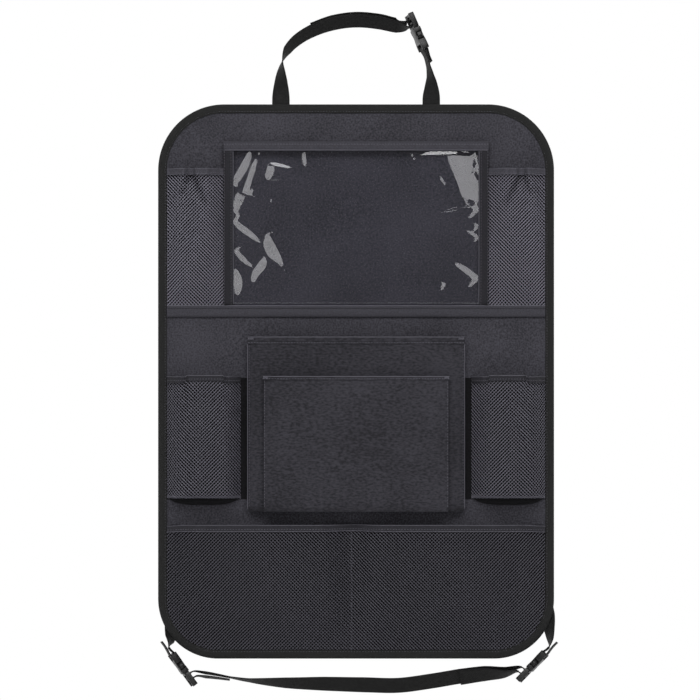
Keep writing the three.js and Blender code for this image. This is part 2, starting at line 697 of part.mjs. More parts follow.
// A round bar across the frame, with its ends inside the side rails.
function roundBar(centre) {
  const length = BUCKLE_WIDTH - 2;
  return new THREE.CylinderGeometry(BAR_SIZE / 2, BAR_SIZE / 2, length, 12).translate(centre, 0, 0);
}

function slot(from, to) {
  return box(from, to, -SLOT_HALF_WIDTH, SLOT_HALF_WIDTH, -BUCKLE_THICKNESS, BUCKLE_THICKNESS);
}

// Socket: a hollow shell with side windows for the prongs and one fixed bar for the webbing.
function buckleSocket(name) {
  const half = BUCKLE_WIDTH / 2;
  const barZone = BAR_SIZE + BAR_SLOT;
  const shellHalf = half - SHELL_STEP;
  const shell = slab(mirrored([
    [0, half - CORNER_CHAMFER], [CORNER_CHAMFER, half], [barZone, half],
    [barZone + 3 * CORNER_CHAMFER, shellHalf], [SOCKET_LENGTH, shellHalf],
  ]), BUCKLE_THICKNESS);
  const cavityHalf = shellHalf - BUCKLE_WALL;
  const cavity = box(
    barZone + BUCKLE_WALL, SOCKET_LENGTH + 1, -cavityHalf, cavityHalf, -CAVITY_HEIGHT / 2, CAVITY_HEIGHT / 2,
  );
  const windows = [[-BUCKLE_WIDTH, -PRONG_WINDOW_INNER], [PRONG_WINDOW_INNER, BUCKLE_WIDTH]].map(([from, to]) => box(
    PRONG_WINDOW_START, PRONG_WINDOW_START + PRONG_WINDOW_LENGTH, from, to, -CAVITY_HEIGHT / 2, CAVITY_HEIGHT / 2,
  ));
  const waist = new THREE.CylinderGeometry(WAIST_RADIUS, WAIST_RADIUS, BUCKLE_THICKNESS * 2, 24).rotateX(Math.PI / 2);
  const waists = [-1, 1].map((side) => waist.clone().translate(WAIST_CENTRE, side * (half + WAIST_OFFSET), 0));
  const hollow = cut(shell, [slot(-1, barZone), cavity, ...windows, ...waists]);
  return named(name, join([hollow, roundBar(BAR_SIZE / 2)]), BUCKLE_COLOUR, 0.35);
}

// Plug: a frame with two bars for the adjustable webbing, a guide tongue and two springy prongs.
function bucklePlug(name) {
  const half = BUCKLE_WIDTH / 2;
  const bodyStart = SOCKET_LENGTH + CLEARANCE;
  const frame = slab(mirrored([
    [bodyStart, half - SHELL_STEP], [BODY_SLOT_START, half - 0.2], [BUCKLE_LENGTH - CORNER_CHAMFER, half - 0.2],
    [BUCKLE_LENGTH, half - CORNER_CHAMFER - 0.2],
  ]), PLUG_THICKNESS);
  const prongHeight = CAVITY_HEIGHT - 2 * CLEARANCE;
  const wall = half - SHELL_STEP - BUCKLE_WALL - CLEARANCE;
  const prong = [
    [bodyStart + 1, wall - 0.4], [21.5, wall], [20.6, wall], [20.2, wall + 2.2], [16.6, wall + 2.7],
    [13.4, wall + 1.2], [12.2, wall - 0.2], [PRONG_TIP, wall - 2.6], [PRONG_TIP + 0.4, wall - 3.8],
    [13, wall - 2.2], [17, wall - 0.8], [21, wall - 2.4], [bodyStart + 1, wall - 3],
  ];
  const opposite = prong.map(([s, t]) => [s, -t]).reverse();
  const tongueTip = PRONG_WINDOW_START;
  const tongue = mirrored([
    [tongueTip, TONGUE_HALF_WIDTH / 2], [tongueTip + 1, TONGUE_HALF_WIDTH], [bodyStart + 1, TONGUE_HALF_WIDTH],
  ]);
  const geometry = join([frame, slab(prong, prongHeight), slab(opposite, prongHeight), slab(tongue, prongHeight)]);
  const slotted = cut(geometry, [
    slot(BODY_SLOT_START, BUCKLE_LENGTH - BAR_SIZE),
    ...barRelief(BODY_SLOT_START, BUCKLE_LENGTH + 1),
  ]);
  return named(name, join([slotted, roundBar(MIDDLE_BAR_CENTRE)]), BUCKLE_COLOUR, 0.35);
}

function buckle(frame, label) {
  const group = new THREE.Group();
  group.applyMatrix4(frame.matrix);
  group.add(buckleSocket(`${label}_buckle_socket`), bucklePlug(`${label}_buckle_plug`));
  return group;
}

// Stations given as [share of reach, y, share of rise above a level, direction across the strap].
function stationsIn(reach, level, rise, rows) {
  return rows.map(([x, y, z, ...across]) => station(x * reach, y, level + z * rise, ...across));
}

// Where each buckle lies: the place of its socket's outer end, the way it points and how it is turned.
const topBuckle = buckleFrame(0.906 * TOP_LEG_X, HALF_HEIGHT + 0.654 * TOP_ARCH_RISE, -0.4, 0.92, -1, 0.15);
const leftBuckle = buckleFrame(-0.932 * HALF_WIDTH, 0.059 * LEFT_TAIL_RISE - HALF_HEIGHT, 0.59, -0.81, -1, -0.2);
const rightBuckle = buckleFrame(0.957 * HALF_WIDTH, 0.064 * RIGHT_TAIL_RISE - HALF_HEIGHT, -0.7, -0.72, 1, 0.2);

// A top strap's leg: flat behind the panel where it is sewn, and a little above the panel's edge.
function topLeg(side) {
  return [-TOP_LEG_SEWN_LENGTH, -TOP_LEG_SEAM_INSET, TOP_LEG_LEAD].map((rise) => (
    station(side * TOP_LEG_X, BACK_WEBBING_Y, HALF_HEIGHT + rise, 1, 0, 0)));
}

// Top strap, left part: sewn behind the panel, twisted once, arched over and threaded through the plug.
function topStrapLeft() {
  const twist = stationsIn(TOP_LEG_X, HALF_HEIGHT, TOP_ARCH_RISE, [
    [-1, BACK_WEBBING_Y, 0.241, 0.8, -0.6, 0],
    [-0.996, BACK_WEBBING_Y, 0.399, 0.45, -0.88, 0],
    [-0.977, STRAP_PLANE_Y, 0.525, 0.02, -1, 0],
  ]);
  const arch = stationsIn(TOP_LEG_X, HALF_HEIGHT, TOP_ARCH_RISE, [
    [-0.912, STRAP_PLANE_Y, 0.651, -0.35, -0.9, 0.25],
    [-0.784, STRAP_PLANE_Y, 0.771, -0.38, -0.82, 0.42],
    [-0.579, STRAP_PLANE_Y, 0.881, -0.28, -0.76, 0.58],
    [-0.304, STRAP_PLANE_Y, 0.965, -0.16, -0.73, 0.66],
    [0, STRAP_PLANE_Y, 1, 0, -0.72, 0.69],
    [0.304, STRAP_PLANE_Y, 0.976, 0.1, -0.74, 0.66],
    [0.538, STRAP_PLANE_Y, 0.929, 0.12, -0.8, 0.58],
  ]);
  const free = layerOn(arch.slice(2), -TAIL_DISTANCE, -TAIL_DISTANCE_AT_BUCKLE).reverse();
  return webbing('top_strap_left', [...topLeg(-1), ...twist, ...arch, ...plugLoop(topBuckle), ...free]);
}

// Top strap, right part: sewn behind the panel, twisted and folded round the socket's bar.
function topStrapRight() {
  const twist = stationsIn(TOP_LEG_X, HALF_HEIGHT, TOP_ARCH_RISE, [
    [1, BACK_WEBBING_Y, 0.21, 0.75, -0.66, 0],
    [0.989, BACK_WEBBING_Y, 0.336, 0.4, -0.92, 0],
    [0.964, STRAP_PLANE_Y, 0.451, 0.2, -0.98, 0],
  ]);
  return webbing('top_strap_right', [...topLeg(1), ...twist, ...socketLoop(topBuckle, SOCKET_RUN)]);
}

// Lower tail: short webbing sewn behind a lower corner of the panel and folded round a socket's bar.
function lowerTail(name, frame, rise, sewnX, bend) {
  const half = LOWER_TAIL_SEWN_LENGTH / 2;
  const sewn = [half, -half].map((offset) => (
    station(sewnX * HALF_WIDTH, BACK_WEBBING_Y, rise - HALF_HEIGHT + offset, 1, 0, 0)));
  const bent = stationsIn(HALF_WIDTH, -HALF_HEIGHT, rise, bend);
  return webbing(name, [...sewn, ...bent, ...socketLoop(frame, SOCKET_TAIL_RUN, -1)]);
}

function leftTail() {
  return lowerTail('bottom_left_tail', leftBuckle, LEFT_TAIL_RISE, -0.911, [
    [-0.913, BACK_WEBBING_Y + 1, 0.567, 1, 0, 0],
    [-0.926, LOWER_TAIL_BOW, 0.389, 0.97, 0.24, 0],
    [-0.939, LOWER_TAIL_BOW - 0.6, 0.289, 0.6, 0.8, 0],
    [-0.941, STRAP_PLANE_Y + 1.1, 0.2, 0.22, 0.97, 0],
  ]);
}

function rightTail() {
  return lowerTail('bottom_right_tail', rightBuckle, RIGHT_TAIL_RISE, 0.942, [
    [0.947, BACK_WEBBING_Y + 1, 0.65, 1, 0, 0],
    [0.963, LOWER_TAIL_BOW - 1, 0.5, 0.95, -0.31, 0],
    [0.976, LOWER_TAIL_BOW - 2, 0.35, 0.6, -0.8, 0],
    [0.98, STRAP_PLANE_Y + 0.9, 0.22, 0.3, -0.95, 0],
  ]);
}

// Long lower strap: threaded through a plug at each end, with a free tail doubled back at both.
function bottomStrap() {
  const run = stationsIn(HALF_WIDTH, -HALF_HEIGHT, -LOWER_STRAP_DROP, [
    [-0.76, STRAP_PLANE_Y, 0.547, 0.04, -0.97, 0.25],
    [-0.702, STRAP_PLANE_Y, 0.62, 0.02, -0.97, 0.22],
    [-0.636, STRAP_PLANE_Y, 0.717, 0.02, -0.98, 0.18],
    [-0.542, STRAP_PLANE_Y, 0.827, 0.02, -0.95, 0.3],
    [-0.36, STRAP_PLANE_Y, 0.923, 0.02, -0.74, 0.67],
    [-0.16, STRAP_PLANE_Y, 0.96, 0, -0.53, 0.85],
    [0.044, STRAP_PLANE_Y, 1, 0, -0.42, 0.91],
    [0.213, STRAP_PLANE_Y, 1.02, -0.05, -0.43, 0.9],
    [0.373, STRAP_PLANE_Y, 0.867, -0.12, -0.43, 0.89],
    [0.524, STRAP_PLANE_Y, 0.677, -0.1, -0.44, 0.89],
    [0.649, STRAP_PLANE_Y, 0.533, -0.08, -0.6, 0.8],
    [0.747, STRAP_PLANE_Y, 0.467, -0.06, -0.85, 0.5],
  ]);
  const leftFree = layerOn(run.slice(0, 3), TAIL_DISTANCE_AT_BUCKLE, TAIL_DISTANCE).reverse();
  const rightFree = layerOn(run.slice(9), TAIL_DISTANCE, TAIL_DISTANCE_AT_BUCKLE).reverse();
  const leftLoop = plugLoop(leftBuckle).reverse();
  const rightLoop = plugLoop(rightBuckle, -1);
  return webbing('bottom_strap', [...leftFree, ...leftLoop, ...run, ...rightLoop, ...rightFree]);
}

const organizer = new THREE.Group();
organizer.add(
  backPanel(),
  edgeBinding(),
  dividerBand(),
  tabletWindow(),
  windowSideTape('window_tape_left', -1),
  windowSideTape('window_tape_right', 1),
  windowTopTape(),
  ...upperMeshPocket('left', -1),
  ...upperMeshPocket('right', 1),
  ...lowerMeshPocket('left', -1),
  ...lowerMeshPocket('right', 1),
  ...bottomMeshPocket(),
  gussetedPocket(
    'document_pocket', DOCUMENT_POCKET_WIDTH, DOCUMENT_POCKET_TOP, DOCUMENT_POCKET_BOTTOM,
    DOCUMENT_POCKET_DEPTH, PANEL_FRONT,
  ),
  gussetedPocket(
    'front_pocket', FRONT_POCKET_WIDTH, FRONT_POCKET_TOP, FRONT_POCKET_BOTTOM,
    FRONT_POCKET_DEPTH, PANEL_FRONT - CLEARANCE - DOCUMENT_POCKET_DEPTH,
  ),
  topStrapLeft(),
  topStrapRight(),
  bottomStrap(),
  leftTail(),
  rightTail(),
  buckle(topBuckle, 'top'),
  buckle(leftBuckle, 'bottom_left'),
  buckle(rightBuckle, 'bottom_right'),
);

export default organizer;
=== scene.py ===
# %% [markdown]
# # Car seat back organizer, dressed in cloth, net and webbing
# The CAD frame is already sized. Each soft piece below takes the place of its plain CAD solid,
# and the six buckle halves keep their moulded shape. All lengths in the recipes are millimetres.

# %% Load the frame
import bpy
import bmesh
import math
from collections import namedtuple
from itertools import zip_longest
from mathutils import Matrix, Vector, noise


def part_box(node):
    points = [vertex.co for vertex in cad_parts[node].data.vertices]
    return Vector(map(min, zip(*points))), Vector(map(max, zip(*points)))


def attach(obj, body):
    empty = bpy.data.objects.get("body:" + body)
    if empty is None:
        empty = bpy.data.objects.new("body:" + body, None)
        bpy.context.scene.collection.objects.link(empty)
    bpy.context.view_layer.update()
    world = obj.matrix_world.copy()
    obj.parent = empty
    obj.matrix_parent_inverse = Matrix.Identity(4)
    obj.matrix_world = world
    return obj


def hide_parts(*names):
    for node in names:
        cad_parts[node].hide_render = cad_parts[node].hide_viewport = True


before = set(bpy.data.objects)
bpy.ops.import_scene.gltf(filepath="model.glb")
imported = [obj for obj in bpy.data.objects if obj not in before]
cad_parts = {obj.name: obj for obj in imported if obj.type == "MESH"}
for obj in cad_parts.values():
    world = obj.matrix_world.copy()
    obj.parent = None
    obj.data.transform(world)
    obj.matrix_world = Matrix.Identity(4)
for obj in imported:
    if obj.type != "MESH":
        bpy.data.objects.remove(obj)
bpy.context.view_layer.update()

# %% [markdown]
# ## Lengths, and one way to add a mesh
# A sewn piece is easiest to write in millimetres, as a tailor would measure it. One helper turns points and
# faces into a Blender object at the origin, with an optional UV map whose unit is a metre of cloth.

# %% Small helpers
MM = 0.001
SIDES = (-1, 1)


def ease(distance, reach):
    t = min(max(distance / reach, 0.0), 1.0)
    return t * t * (3 - 2 * t)


def lerp(a, b, t):
    return a + (b - a) * t


def spread(lo, hi, count):
    """Evenly spaced numbers from lo to hi, with count gaps between them."""
    return [lerp(lo, hi, i / count) for i in range(count + 1)]


def add_object(name, data):
    thing = bpy.data.objects.new(name, data)
    bpy.context.scene.collection.objects.link(thing)
    return thing


def add_piece(name, points, faces, material, corner_uvs=None, sharp=50):
    mesh = bpy.data.meshes.new(name)
    mesh.from_pydata([Vector(p) * MM for p in points], [], faces)
    if corner_uvs:
        layer = mesh.uv_layers.new(name="cloth")
        for corner, uv in zip(layer.data, corner_uvs):
            corner.uv = (uv[0] * MM, uv[1] * MM)
    shell = bmesh.new()
    shell.from_mesh(mesh)
    bmesh.ops.recalc_face_normals(shell, faces=shell.faces)
    shell.to_mesh(mesh)
    shell.free()
    mesh.shade_smooth()
    mesh.set_sharp_from_angle(angle=math.radians(sharp))
    mesh.materials.append(material)
    print(f"{name}: {len(mesh.polygons)} faces")
    return add_object(name, mesh)


# %% Bake a modifier into a plain mesh
def bake(piece):
    bpy.context.view_layer.update()
    graph = bpy.context.evaluated_depsgraph_get()
    mesh = bpy.data.meshes.new_from_object(piece.evaluated_get(graph), depsgraph=graph)
    piece.modifiers.clear()
    piece.data = mesh
    print(f"{piece.name}: baked to {len(mesh.polygons)} faces")
    return piece

# %% [markdown]
# ## Lofts and grids
# A tape, a hem or a strap is one flat section carried along a path, so a loft makes them all. A wall of cloth
# is a grid of points with a second layer behind it. A loft keeps its cloth's true lengths as UVs, so that
# the ribs of a tape follow it round a corner.


# %% Loft a closed section through rings
def loft(name, rings, material, closed=False, sharp=50):
    size = len(rings[0])
    points = [p for ring in rings for p in ring]
    spans = len(rings) if closed else len(rings) - 1
    around = [0.0]
    for k in range(size):
        around.append(around[-1] + (Vector(rings[0][(k + 1) % size]) - Vector(rings[0][k])).length)
    faces, uvs, along = [], [], 0.0
    for r in range(spans):
        far_ring = (r + 1) % len(rings)
        ahead = along + (Vector(rings[far_ring][0]) - Vector(rings[r][0])).length
        for k in range(size):
            nxt = (k + 1) % size
            faces.append((r * size + k, r * size + nxt, far_ring * size + nxt, far_ring * size + k))
            low, high = around[k], around[k + 1]
            uvs += [(along, low), (along, high), (ahead, high), (ahead, low)]
        along = ahead
    if not closed:
        first, last = list(range(size)), list(range((len(rings) - 1) * size, len(rings) * size))
        faces += [first[::-1], last]
        uvs += [(0.0, 0.0)] * (2 * size)
    return add_piece(name, points, faces, material, uvs, sharp)


# %% A wall of cloth: one surface function, a thickness and a closed rim
def wall(name, columns, rows, surface, thickness, material, sharp=50):
    front = [surface(i / columns, j / rows) for j in range(rows + 1) for i in range(columns + 1)]
    at = lambda i, j: j * (columns + 1) + i
    behind = []
    for j in range(rows + 1):
        for i in range(columns + 1):
            right, left = front[at(min(i + 1, columns), j)], front[at(max(i - 1, 0), j)]
            up, down = front[at(i, min(j + 1, rows))], front[at(i, max(j - 1, 0))]
            normal = (Vector(right) - Vector(left)).cross(Vector(up) - Vector(down)).normalized()
            behind.append(Vector(front[at(i, j)]) - normal * thickness)
    size = len(front)
    faces = []
    for j in range(rows):
        for i in range(columns):
            a, b, c, d = at(i, j), at(i + 1, j), at(i + 1, j + 1), at(i, j + 1)
            faces += [(a, b, c, d), (size + d, size + c, size + b, size + a)]
    rim = [at(i, 0) for i in range(columns)] + [at(columns, j) for j in range(rows)]
    rim += [at(columns - i, rows) for i in range(columns)] + [at(0, rows - j) for j in range(rows)]
    for k, a in enumerate(rim):
        b = rim[(k + 1) % len(rim)]
        faces.append((b, a, size + a, size + b))
    return add_piece(name, front + behind, faces, material, None, sharp)

# %% [markdown]
# ## Colours and cloth finishes
# The whole organizer is near black, so the pieces part from each other by weave, rib and sheen. A finish
# reads Object coordinates where the piece is flat, and its UV map where a rib has to follow a bent tape.
# Grain of one to two millimetres gives the speckle that dark polyester shows.

# %% Node helpers
BLUE_BLACK = (0.96, 0.93, 1.13)
NEUTRAL = (1.0, 1.0, 1.0)
WHITE = (1.0, 1.0, 1.0, 1.0)


def grey(value, tint=BLUE_BLACK):
    level = value / 255
    linear = level / 12.92 if level <= 0.04045 else ((level + 0.055) / 1.055) ** 2.4
    return (linear * tint[0], linear * tint[1], linear * tint[2], 1.0)


def add_node(tree, kind, inputs=None, **settings):
    """Each input gets a plain value, or a link from the output socket given for it."""
    node = tree.nodes.new(kind)
    for key, value in settings.items():
        setattr(node, key, value)
    for key, value in (inputs or {}).items():
        if isinstance(value, bpy.types.NodeSocket):
            tree.links.new(value, node.inputs[key])
        else:
            node.inputs[key].default_value = value
    return node


def start_material(name, colour, roughness, sheen=0.0, specular=0.5):
    material = bpy.data.materials.new(name)
    material.use_nodes = True
    shader = material.node_tree.nodes["Principled BSDF"]
    values = {"Base Color": colour, "Roughness": roughness, "Sheen Weight": sheen, "Sheen Roughness": 0.45}
    for key, value in {**values, "Specular IOR Level": specular}.items():
        shader.inputs[key].default_value = value
    material.diffuse_color = colour
    return material, material.node_tree, shader


def object_place(tree):
    return add_node(tree, "ShaderNodeTexCoord").outputs["Object"]


def bands(tree, vector, pitch, direction="X"):
    inputs = {"Vector": vector, "Scale": math.tau / (20 * pitch * MM)}
    return add_node(tree, "ShaderNodeTexWave", inputs, bands_direction=direction).outputs["Fac"]


def grain(tree, vector, size, detail=2.0):
    inputs = {"Vector": vector, "Scale": 1 / (size * MM), "Detail": detail}
    return add_node(tree, "ShaderNodeTexNoise", inputs).outputs["Fac"]


def calculate(tree, operation, a, b):
    return add_node(tree, "ShaderNodeMath", {0: a, 1: b}, operation=operation).outputs[0]


def add_shares(tree, a, share_a, b, share_b):
    a, b = calculate(tree, "MULTIPLY", a, share_a), calculate(tree, "MULTIPLY", b, share_b)
    return calculate(tree, "ADD", a, b)


def shade_range(tree, factor, shader, colour, spread, edges=(0.3, 0.7)):
    ramp = add_node(tree, "ShaderNodeValToRGB", {"Fac": factor})
    for stop, position, change in zip(ramp.color_ramp.elements, edges, (-spread, spread)):
        stop.position = position
        stop.color = [c * (1 + change) for c in colour[:3]] + [1.0]
    tree.links.new(ramp.outputs["Color"], shader.inputs["Base Color"])


def relief(tree, height, shader, distance, strength=0.6):
    inputs = {"Height": height, "Strength": strength, "Distance": distance * MM}
    bump = add_node(tree, "ShaderNodeBump", inputs)
    tree.links.new(bump.outputs["Normal"], shader.inputs["Normal"])


def mix_surfaces(tree, share, first, second, output="Material Output"):
    mix = add_node(tree, "ShaderNodeMixShader", {0: share, 1: first.outputs[0], 2: second.outputs[0]})
    tree.links.new(mix.outputs[0], tree.nodes[output].inputs["Surface"])


# %% Woven cloth: plain weave, fine grain and slow shading
def woven_cloth(name, colour, weave=0.8, spread=0.42, streak=1.0):
    material, tree, shader = start_material(name, colour, 0.85, 0.05, 0.15)
    place = object_place(tree)
    x, y, z = add_node(tree, "ShaderNodeSeparateXYZ", {0: place}).outputs
    flat = add_node(tree, "ShaderNodeCombineXYZ", {"X": calculate(tree, "ADD", x, y), "Z": z}).outputs[0]
    threads = calculate(tree, "MULTIPLY", bands(tree, flat, weave, "X"), bands(tree, flat, weave, "Z"))
    pull = add_node(tree, "ShaderNodeMapping", {"Vector": place, "Scale": (1 / streak, 1.0, 1.0)})
    fine = grain(tree, pull.outputs[0], 1.9, 3.0)
    slow = grain(tree, place, 70.0, 1.0)
    shade_range(tree, add_shares(tree, fine, 0.75, slow, 0.25), shader, colour, spread, (0.38, 0.62))
    relief(tree, add_shares(tree, threads, 1.0, fine, 0.8), shader, 0.25)
    return material


# %% Ribbed tape and webbing: ribs that follow the piece's own UV map
def ribbed_tape(name, colour, rib, roughness=0.7, sheen=0.03, twill=0.0, specular=0.15, spread=0.35):
    material, tree, shader = start_material(name, colour, roughness, sheen, specular)
    cloth = add_node(tree, "ShaderNodeUVMap", uv_map="cloth").outputs[0]
    along, across, _ = add_node(tree, "ShaderNodeSeparateXYZ", {0: cloth}).outputs
    slanted = calculate(tree, "ADD", across, calculate(tree, "MULTIPLY", along, twill))
    ribs = bands(tree, add_node(tree, "ShaderNodeCombineXYZ", {"X": slanted}).outputs[0], rib)
    picks = bands(tree, cloth, rib * 0.8)
    fine = grain(tree, object_place(tree), 1.3)
    shade_range(tree, add_shares(tree, fine, 0.7, ribs, 0.3), shader, colour, spread)
    relief(tree, add_shares(tree, ribs, 1.0, picks, 0.35), shader, 0.3, 0.8)
    return material

# %% The finishes themselves
panel_finish = woven_cloth("panel_weave", grey(58))
# A near-black copy of the panel cloth: painted shade for the cloth behind the nets and in the deep gaps beside
# them
painted_shade_finish = woven_cloth("painted_shade_weave", grey(17))
pocket_finish = woven_cloth("pocket_weave", grey(49), 0.7, 0.4, 2.2)
front_pocket_finish = woven_cloth("front_pocket_weave", grey(51), 0.7, 0.4, 2.2)
binding_finish = ribbed_tape("binding_ribs", grey(35, NEUTRAL), 0.9)
tape_finish = ribbed_tape("tape_ribs", grey(64), 0.9)
# The side window tapes take a darker copy of the top tape's cloth: painted shade, where they face away from the
# overhead light
shaded_side_tape_finish = ribbed_tape("shaded_side_tape_ribs", grey(41), 0.9)
hem_finish = ribbed_tape("hem_ribs", grey(70), 0.8)
# The lower and bottom hems take a darker copy of the upper hem's tape: painted shade for the light falling off
# lower down
shaded_low_hem_finish = ribbed_tape("shaded_low_hem_ribs", grey(48), 0.8)
webbing_finish = ribbed_tape("webbing_ribs", grey(27, NEUTRAL), 2.2, 0.6, 0.0, 1.0, 0.12, 0.95)
print("finishes:", [m.name for m in bpy.data.materials])


# %% Net thread, sewing thread and moulded plastic
def thread(name, colour, roughness=0.5):
    material, tree, shader = start_material(name, colour, roughness, 0.0, 0.3)
    twist = grain(tree, object_place(tree), 0.6, 1.0)
    shade_range(tree, twist, shader, colour, 0.2)
    relief(tree, twist, shader, 0.1, 0.5)
    return material


def moulded_plastic(name, colour):
    material, tree, shader = start_material(name, colour, 0.38, 0.0, 0.3)
    place = object_place(tree)
    shade_range(tree, grain(tree, place, 6.0), shader, colour, 0.12)
    relief(tree, grain(tree, place, 0.35), shader, 0.04, 0.4)
    return material


# One net thread in three copies, darker for the lower nets and darker still for the bottom net: painted shade
# for the light falling off towards the bottom
lit_upper_net_thread = thread("lit_upper_net_thread", grey(128))
shaded_lower_net_thread = thread("shaded_lower_net_thread", grey(106))
shaded_bottom_net_thread = thread("shaded_bottom_net_thread", grey(80))
sewing_and_highlight_thread = thread("sewing_and_highlight_thread", grey(94), 0.45)
buckle_finish = moulded_plastic("buckle_plastic", grey(14, NEUTRAL))


# %% Clear soft film: a thin glass that lets the lamps through to the cloth behind
def clear_film(name):
    material, tree, shader = start_material(name, (0.85, 0.85, 0.88, 1.0), 0.03)
    shader.inputs["Transmission Weight"].default_value = 1.0
    shader.inputs["IOR"].default_value = 1.42
    path = add_node(tree, "ShaderNodeLightPath").outputs
    clear = add_node(tree, "ShaderNodeBsdfTransparent", {"Color": (0.9, 0.9, 0.92, 1.0)})
    soft_rays = calculate(tree, "MAXIMUM", path["Is Shadow Ray"], path["Is Diffuse Ray"])
    mix_surfaces(tree, soft_rays, shader, clear)
    return material


film_finish = clear_film("clear_film")
print("thread, plastic and film are ready")

# %% [markdown]
# ## Sizes shared by the sewn pieces
# These repeat the pattern that the CAD frame was cut to: the panel, its binding, the tape across it and the
# pockets. Everything on the front faces -Y, so a larger distance off the panel is a more negative Y.

# %% The pattern's sizes
HALF_WIDTH, HALF_HEIGHT = 225.0, 315.0
TOP_CORNER, BOTTOM_CORNER = 75.0, 68.0
PANEL_INSET, PANEL_THICKNESS = 1.4, 4.0
BINDING_LEG, BINDING_SEAM = 10.0, 8.2
CLOTH_BASE = 4.3
INNER_X = 214.7
DIVIDER_BOTTOM, DIVIDER_TOP = 73.4, 86.4
HEM_HEIGHT, HEM_SEAM = 7.5, 4.9
UPPER_TOP, LOWER_TOP, BOTTOM_TOP = 241.6, 8.0, -162.0
UPPER_FOOT, LOWER_FOOT, BOTTOM_FOOT = 90.4, -133.0, -304.7
UPPER_INNER, LOWER_INNER = 150.3, 131.0
UPPER_MIDDLE, LOWER_MIDDLE = 182.5, 172.0
SEAM_X = -5.0
BACK_SEAM_X, BACK_SEAM_HIGH, BACK_SEAM_LOW = 119.0, 82.4, -147.7
BACK_FACE = 0.05
panel_low, panel_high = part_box("back_panel")
print("panel in metres:", panel_low, panel_high)


def half_width(z, inset):
    top, bottom = HALF_HEIGHT - TOP_CORNER, -HALF_HEIGHT + BOTTOM_CORNER
    radius = (TOP_CORNER if z > 0 else BOTTOM_CORNER) - inset
    beyond = min(max(z - top if z > 0 else bottom - z, 0.0), radius)
    centre = HALF_WIDTH - radius - inset
    return centre + math.sqrt(radius * radius - beyond * beyond)


def edge_distance(x, z):
    return min(HALF_WIDTH - abs(x), HALF_HEIGHT - abs(z), half_width(z, 0) - abs(x))


def wobble(x, z, size, seed=0.0):
    return noise.noise(Vector((x / size, seed, z / size)))

# %% [markdown]
# ## The panel
# Two cloths lie over a thin stiffener. Such a panel is never quite flat: the seams pull it in, and the edge
# puckers where the binding is sewn. A fine grid with those small heights gives light something to catch.


# %% Panel heights
def panel_pucker(x, z):
    edge = min(half_width(z, BINDING_LEG) - abs(x), HALF_HEIGHT - BINDING_LEG - abs(z))
    ripple = math.sin((x if abs(z) > 240 else z) * math.tau / 11.0 + 2.5 * wobble(x, z, 40.0))
    near_edge = max(1 - abs(edge) / 16.0, 0.0)
    near_tape = max(1 - min(abs(z - DIVIDER_TOP), abs(z - DIVIDER_BOTTOM)) / 10.0, 0.0)
    slow = 0.55 * wobble(x, z, 75.0, 3.0) + 0.25 * wobble(x, z, 28.0, 8.0)
    return 0.16 * ripple * max(near_edge, 0.7 * near_tape) + slow


def panel_front(u, v):
    z = lerp(-HALF_HEIGHT + PANEL_INSET, HALF_HEIGHT - PANEL_INSET, v)
    x = lerp(-1, 1, u) * half_width(z, PANEL_INSET)
    inside = edge_distance(x, z) - 8.0
    padding = 1.15 * (1 - ease(inside, 4.0))
    return (x, -PANEL_THICKNESS - 0.05 + padding - panel_pucker(x, z) * ease(inside, 5.0), z)


def panel_back(x, z):
    seam = abs(z - BACK_SEAM_HIGH)
    if abs(x) < BACK_SEAM_X:
        seam = min(seam, abs(z - BACK_SEAM_LOW))
    if -147 < z < 82:
        seam = min(seam, abs(abs(x) - BACK_SEAM_X))
    swell = 1.35 - 0.35 * (1 - ease(seam, 3.0)) + 0.3 * wobble(x, z, 60.0, 5.0)
    return -1.4 + swell * ease(edge_distance(x, z) - 8.0, 4.0)

# %% Make the panel, with painted shade inside the net pockets and in the gaps beside them
panel = wall("panel_cloth", 110, 150, panel_front, 2.6, panel_finish)
for vert in panel.data.vertices:
    x, y, z = (c / MM for c in vert.co)
    if y > -2.2:
        vert.co.y = panel_back(x, z) * MM
panel.data.materials.append(painted_shade_finish)
# Painted shade: faces behind the nets, in the gaps beside the lower nets and behind the bottom net take the
# near-black cloth
for face in panel.data.polygons:
    x, y, z = (c / MM for c in face.center)
    upper = 151 < abs(x) < 216 and DIVIDER_TOP < z < UPPER_TOP - 3
    lower = 121.5 < abs(x) < 216 and LOWER_FOOT < z < LOWER_TOP - 3
    if y < -2.5 and (upper or lower or z < BOTTOM_TOP - 3):
        face.material_index = 1

# %% [markdown]
# ## The binding
# One ribbed tape is folded over the raw edge and sewn through both legs. Round the corners the inner edge of
# a straight tape has too much length, so it puckers there. The rings carry that ripple.

# %% Rings round the panel's edge
EDGE_STEP = 3.0


def edge_stations():
    """Places along the edge: x, z, the way out, and how much of a corner it is, 1 in a corner's middle."""
    places = []
    corners = [(1, 1, TOP_CORNER), (-1, 1, TOP_CORNER), (-1, -1, BOTTOM_CORNER), (1, -1, BOTTOM_CORNER)]

    def on_corner(quarter, share):
        side_x, side_z, radius = corners[quarter % 4]
        angle = (quarter + share) * math.pi / 2
        out = (math.cos(angle), math.sin(angle))
        x = side_x * (HALF_WIDTH - radius) + radius * out[0]
        z = side_z * (HALF_HEIGHT - radius) + radius * out[1]
        return (x, z, out, math.sin(math.pi * share))

    for quarter, (_, _, radius) in enumerate(corners):
        steps = round(radius * math.pi / 2 / EDGE_STEP)
        places += [on_corner(quarter, share) for share in spread(0, 1, steps)]
        end, start = places[-1], on_corner(quarter + 1, 0.0)
        count = round(math.dist(start[:2], end[:2]) / EDGE_STEP)
        for t in spread(0, 1, count)[1:-1]:
            places.append((lerp(end[0], start[0], t), lerp(end[1], start[1], t), end[2], 0.0))
    return places


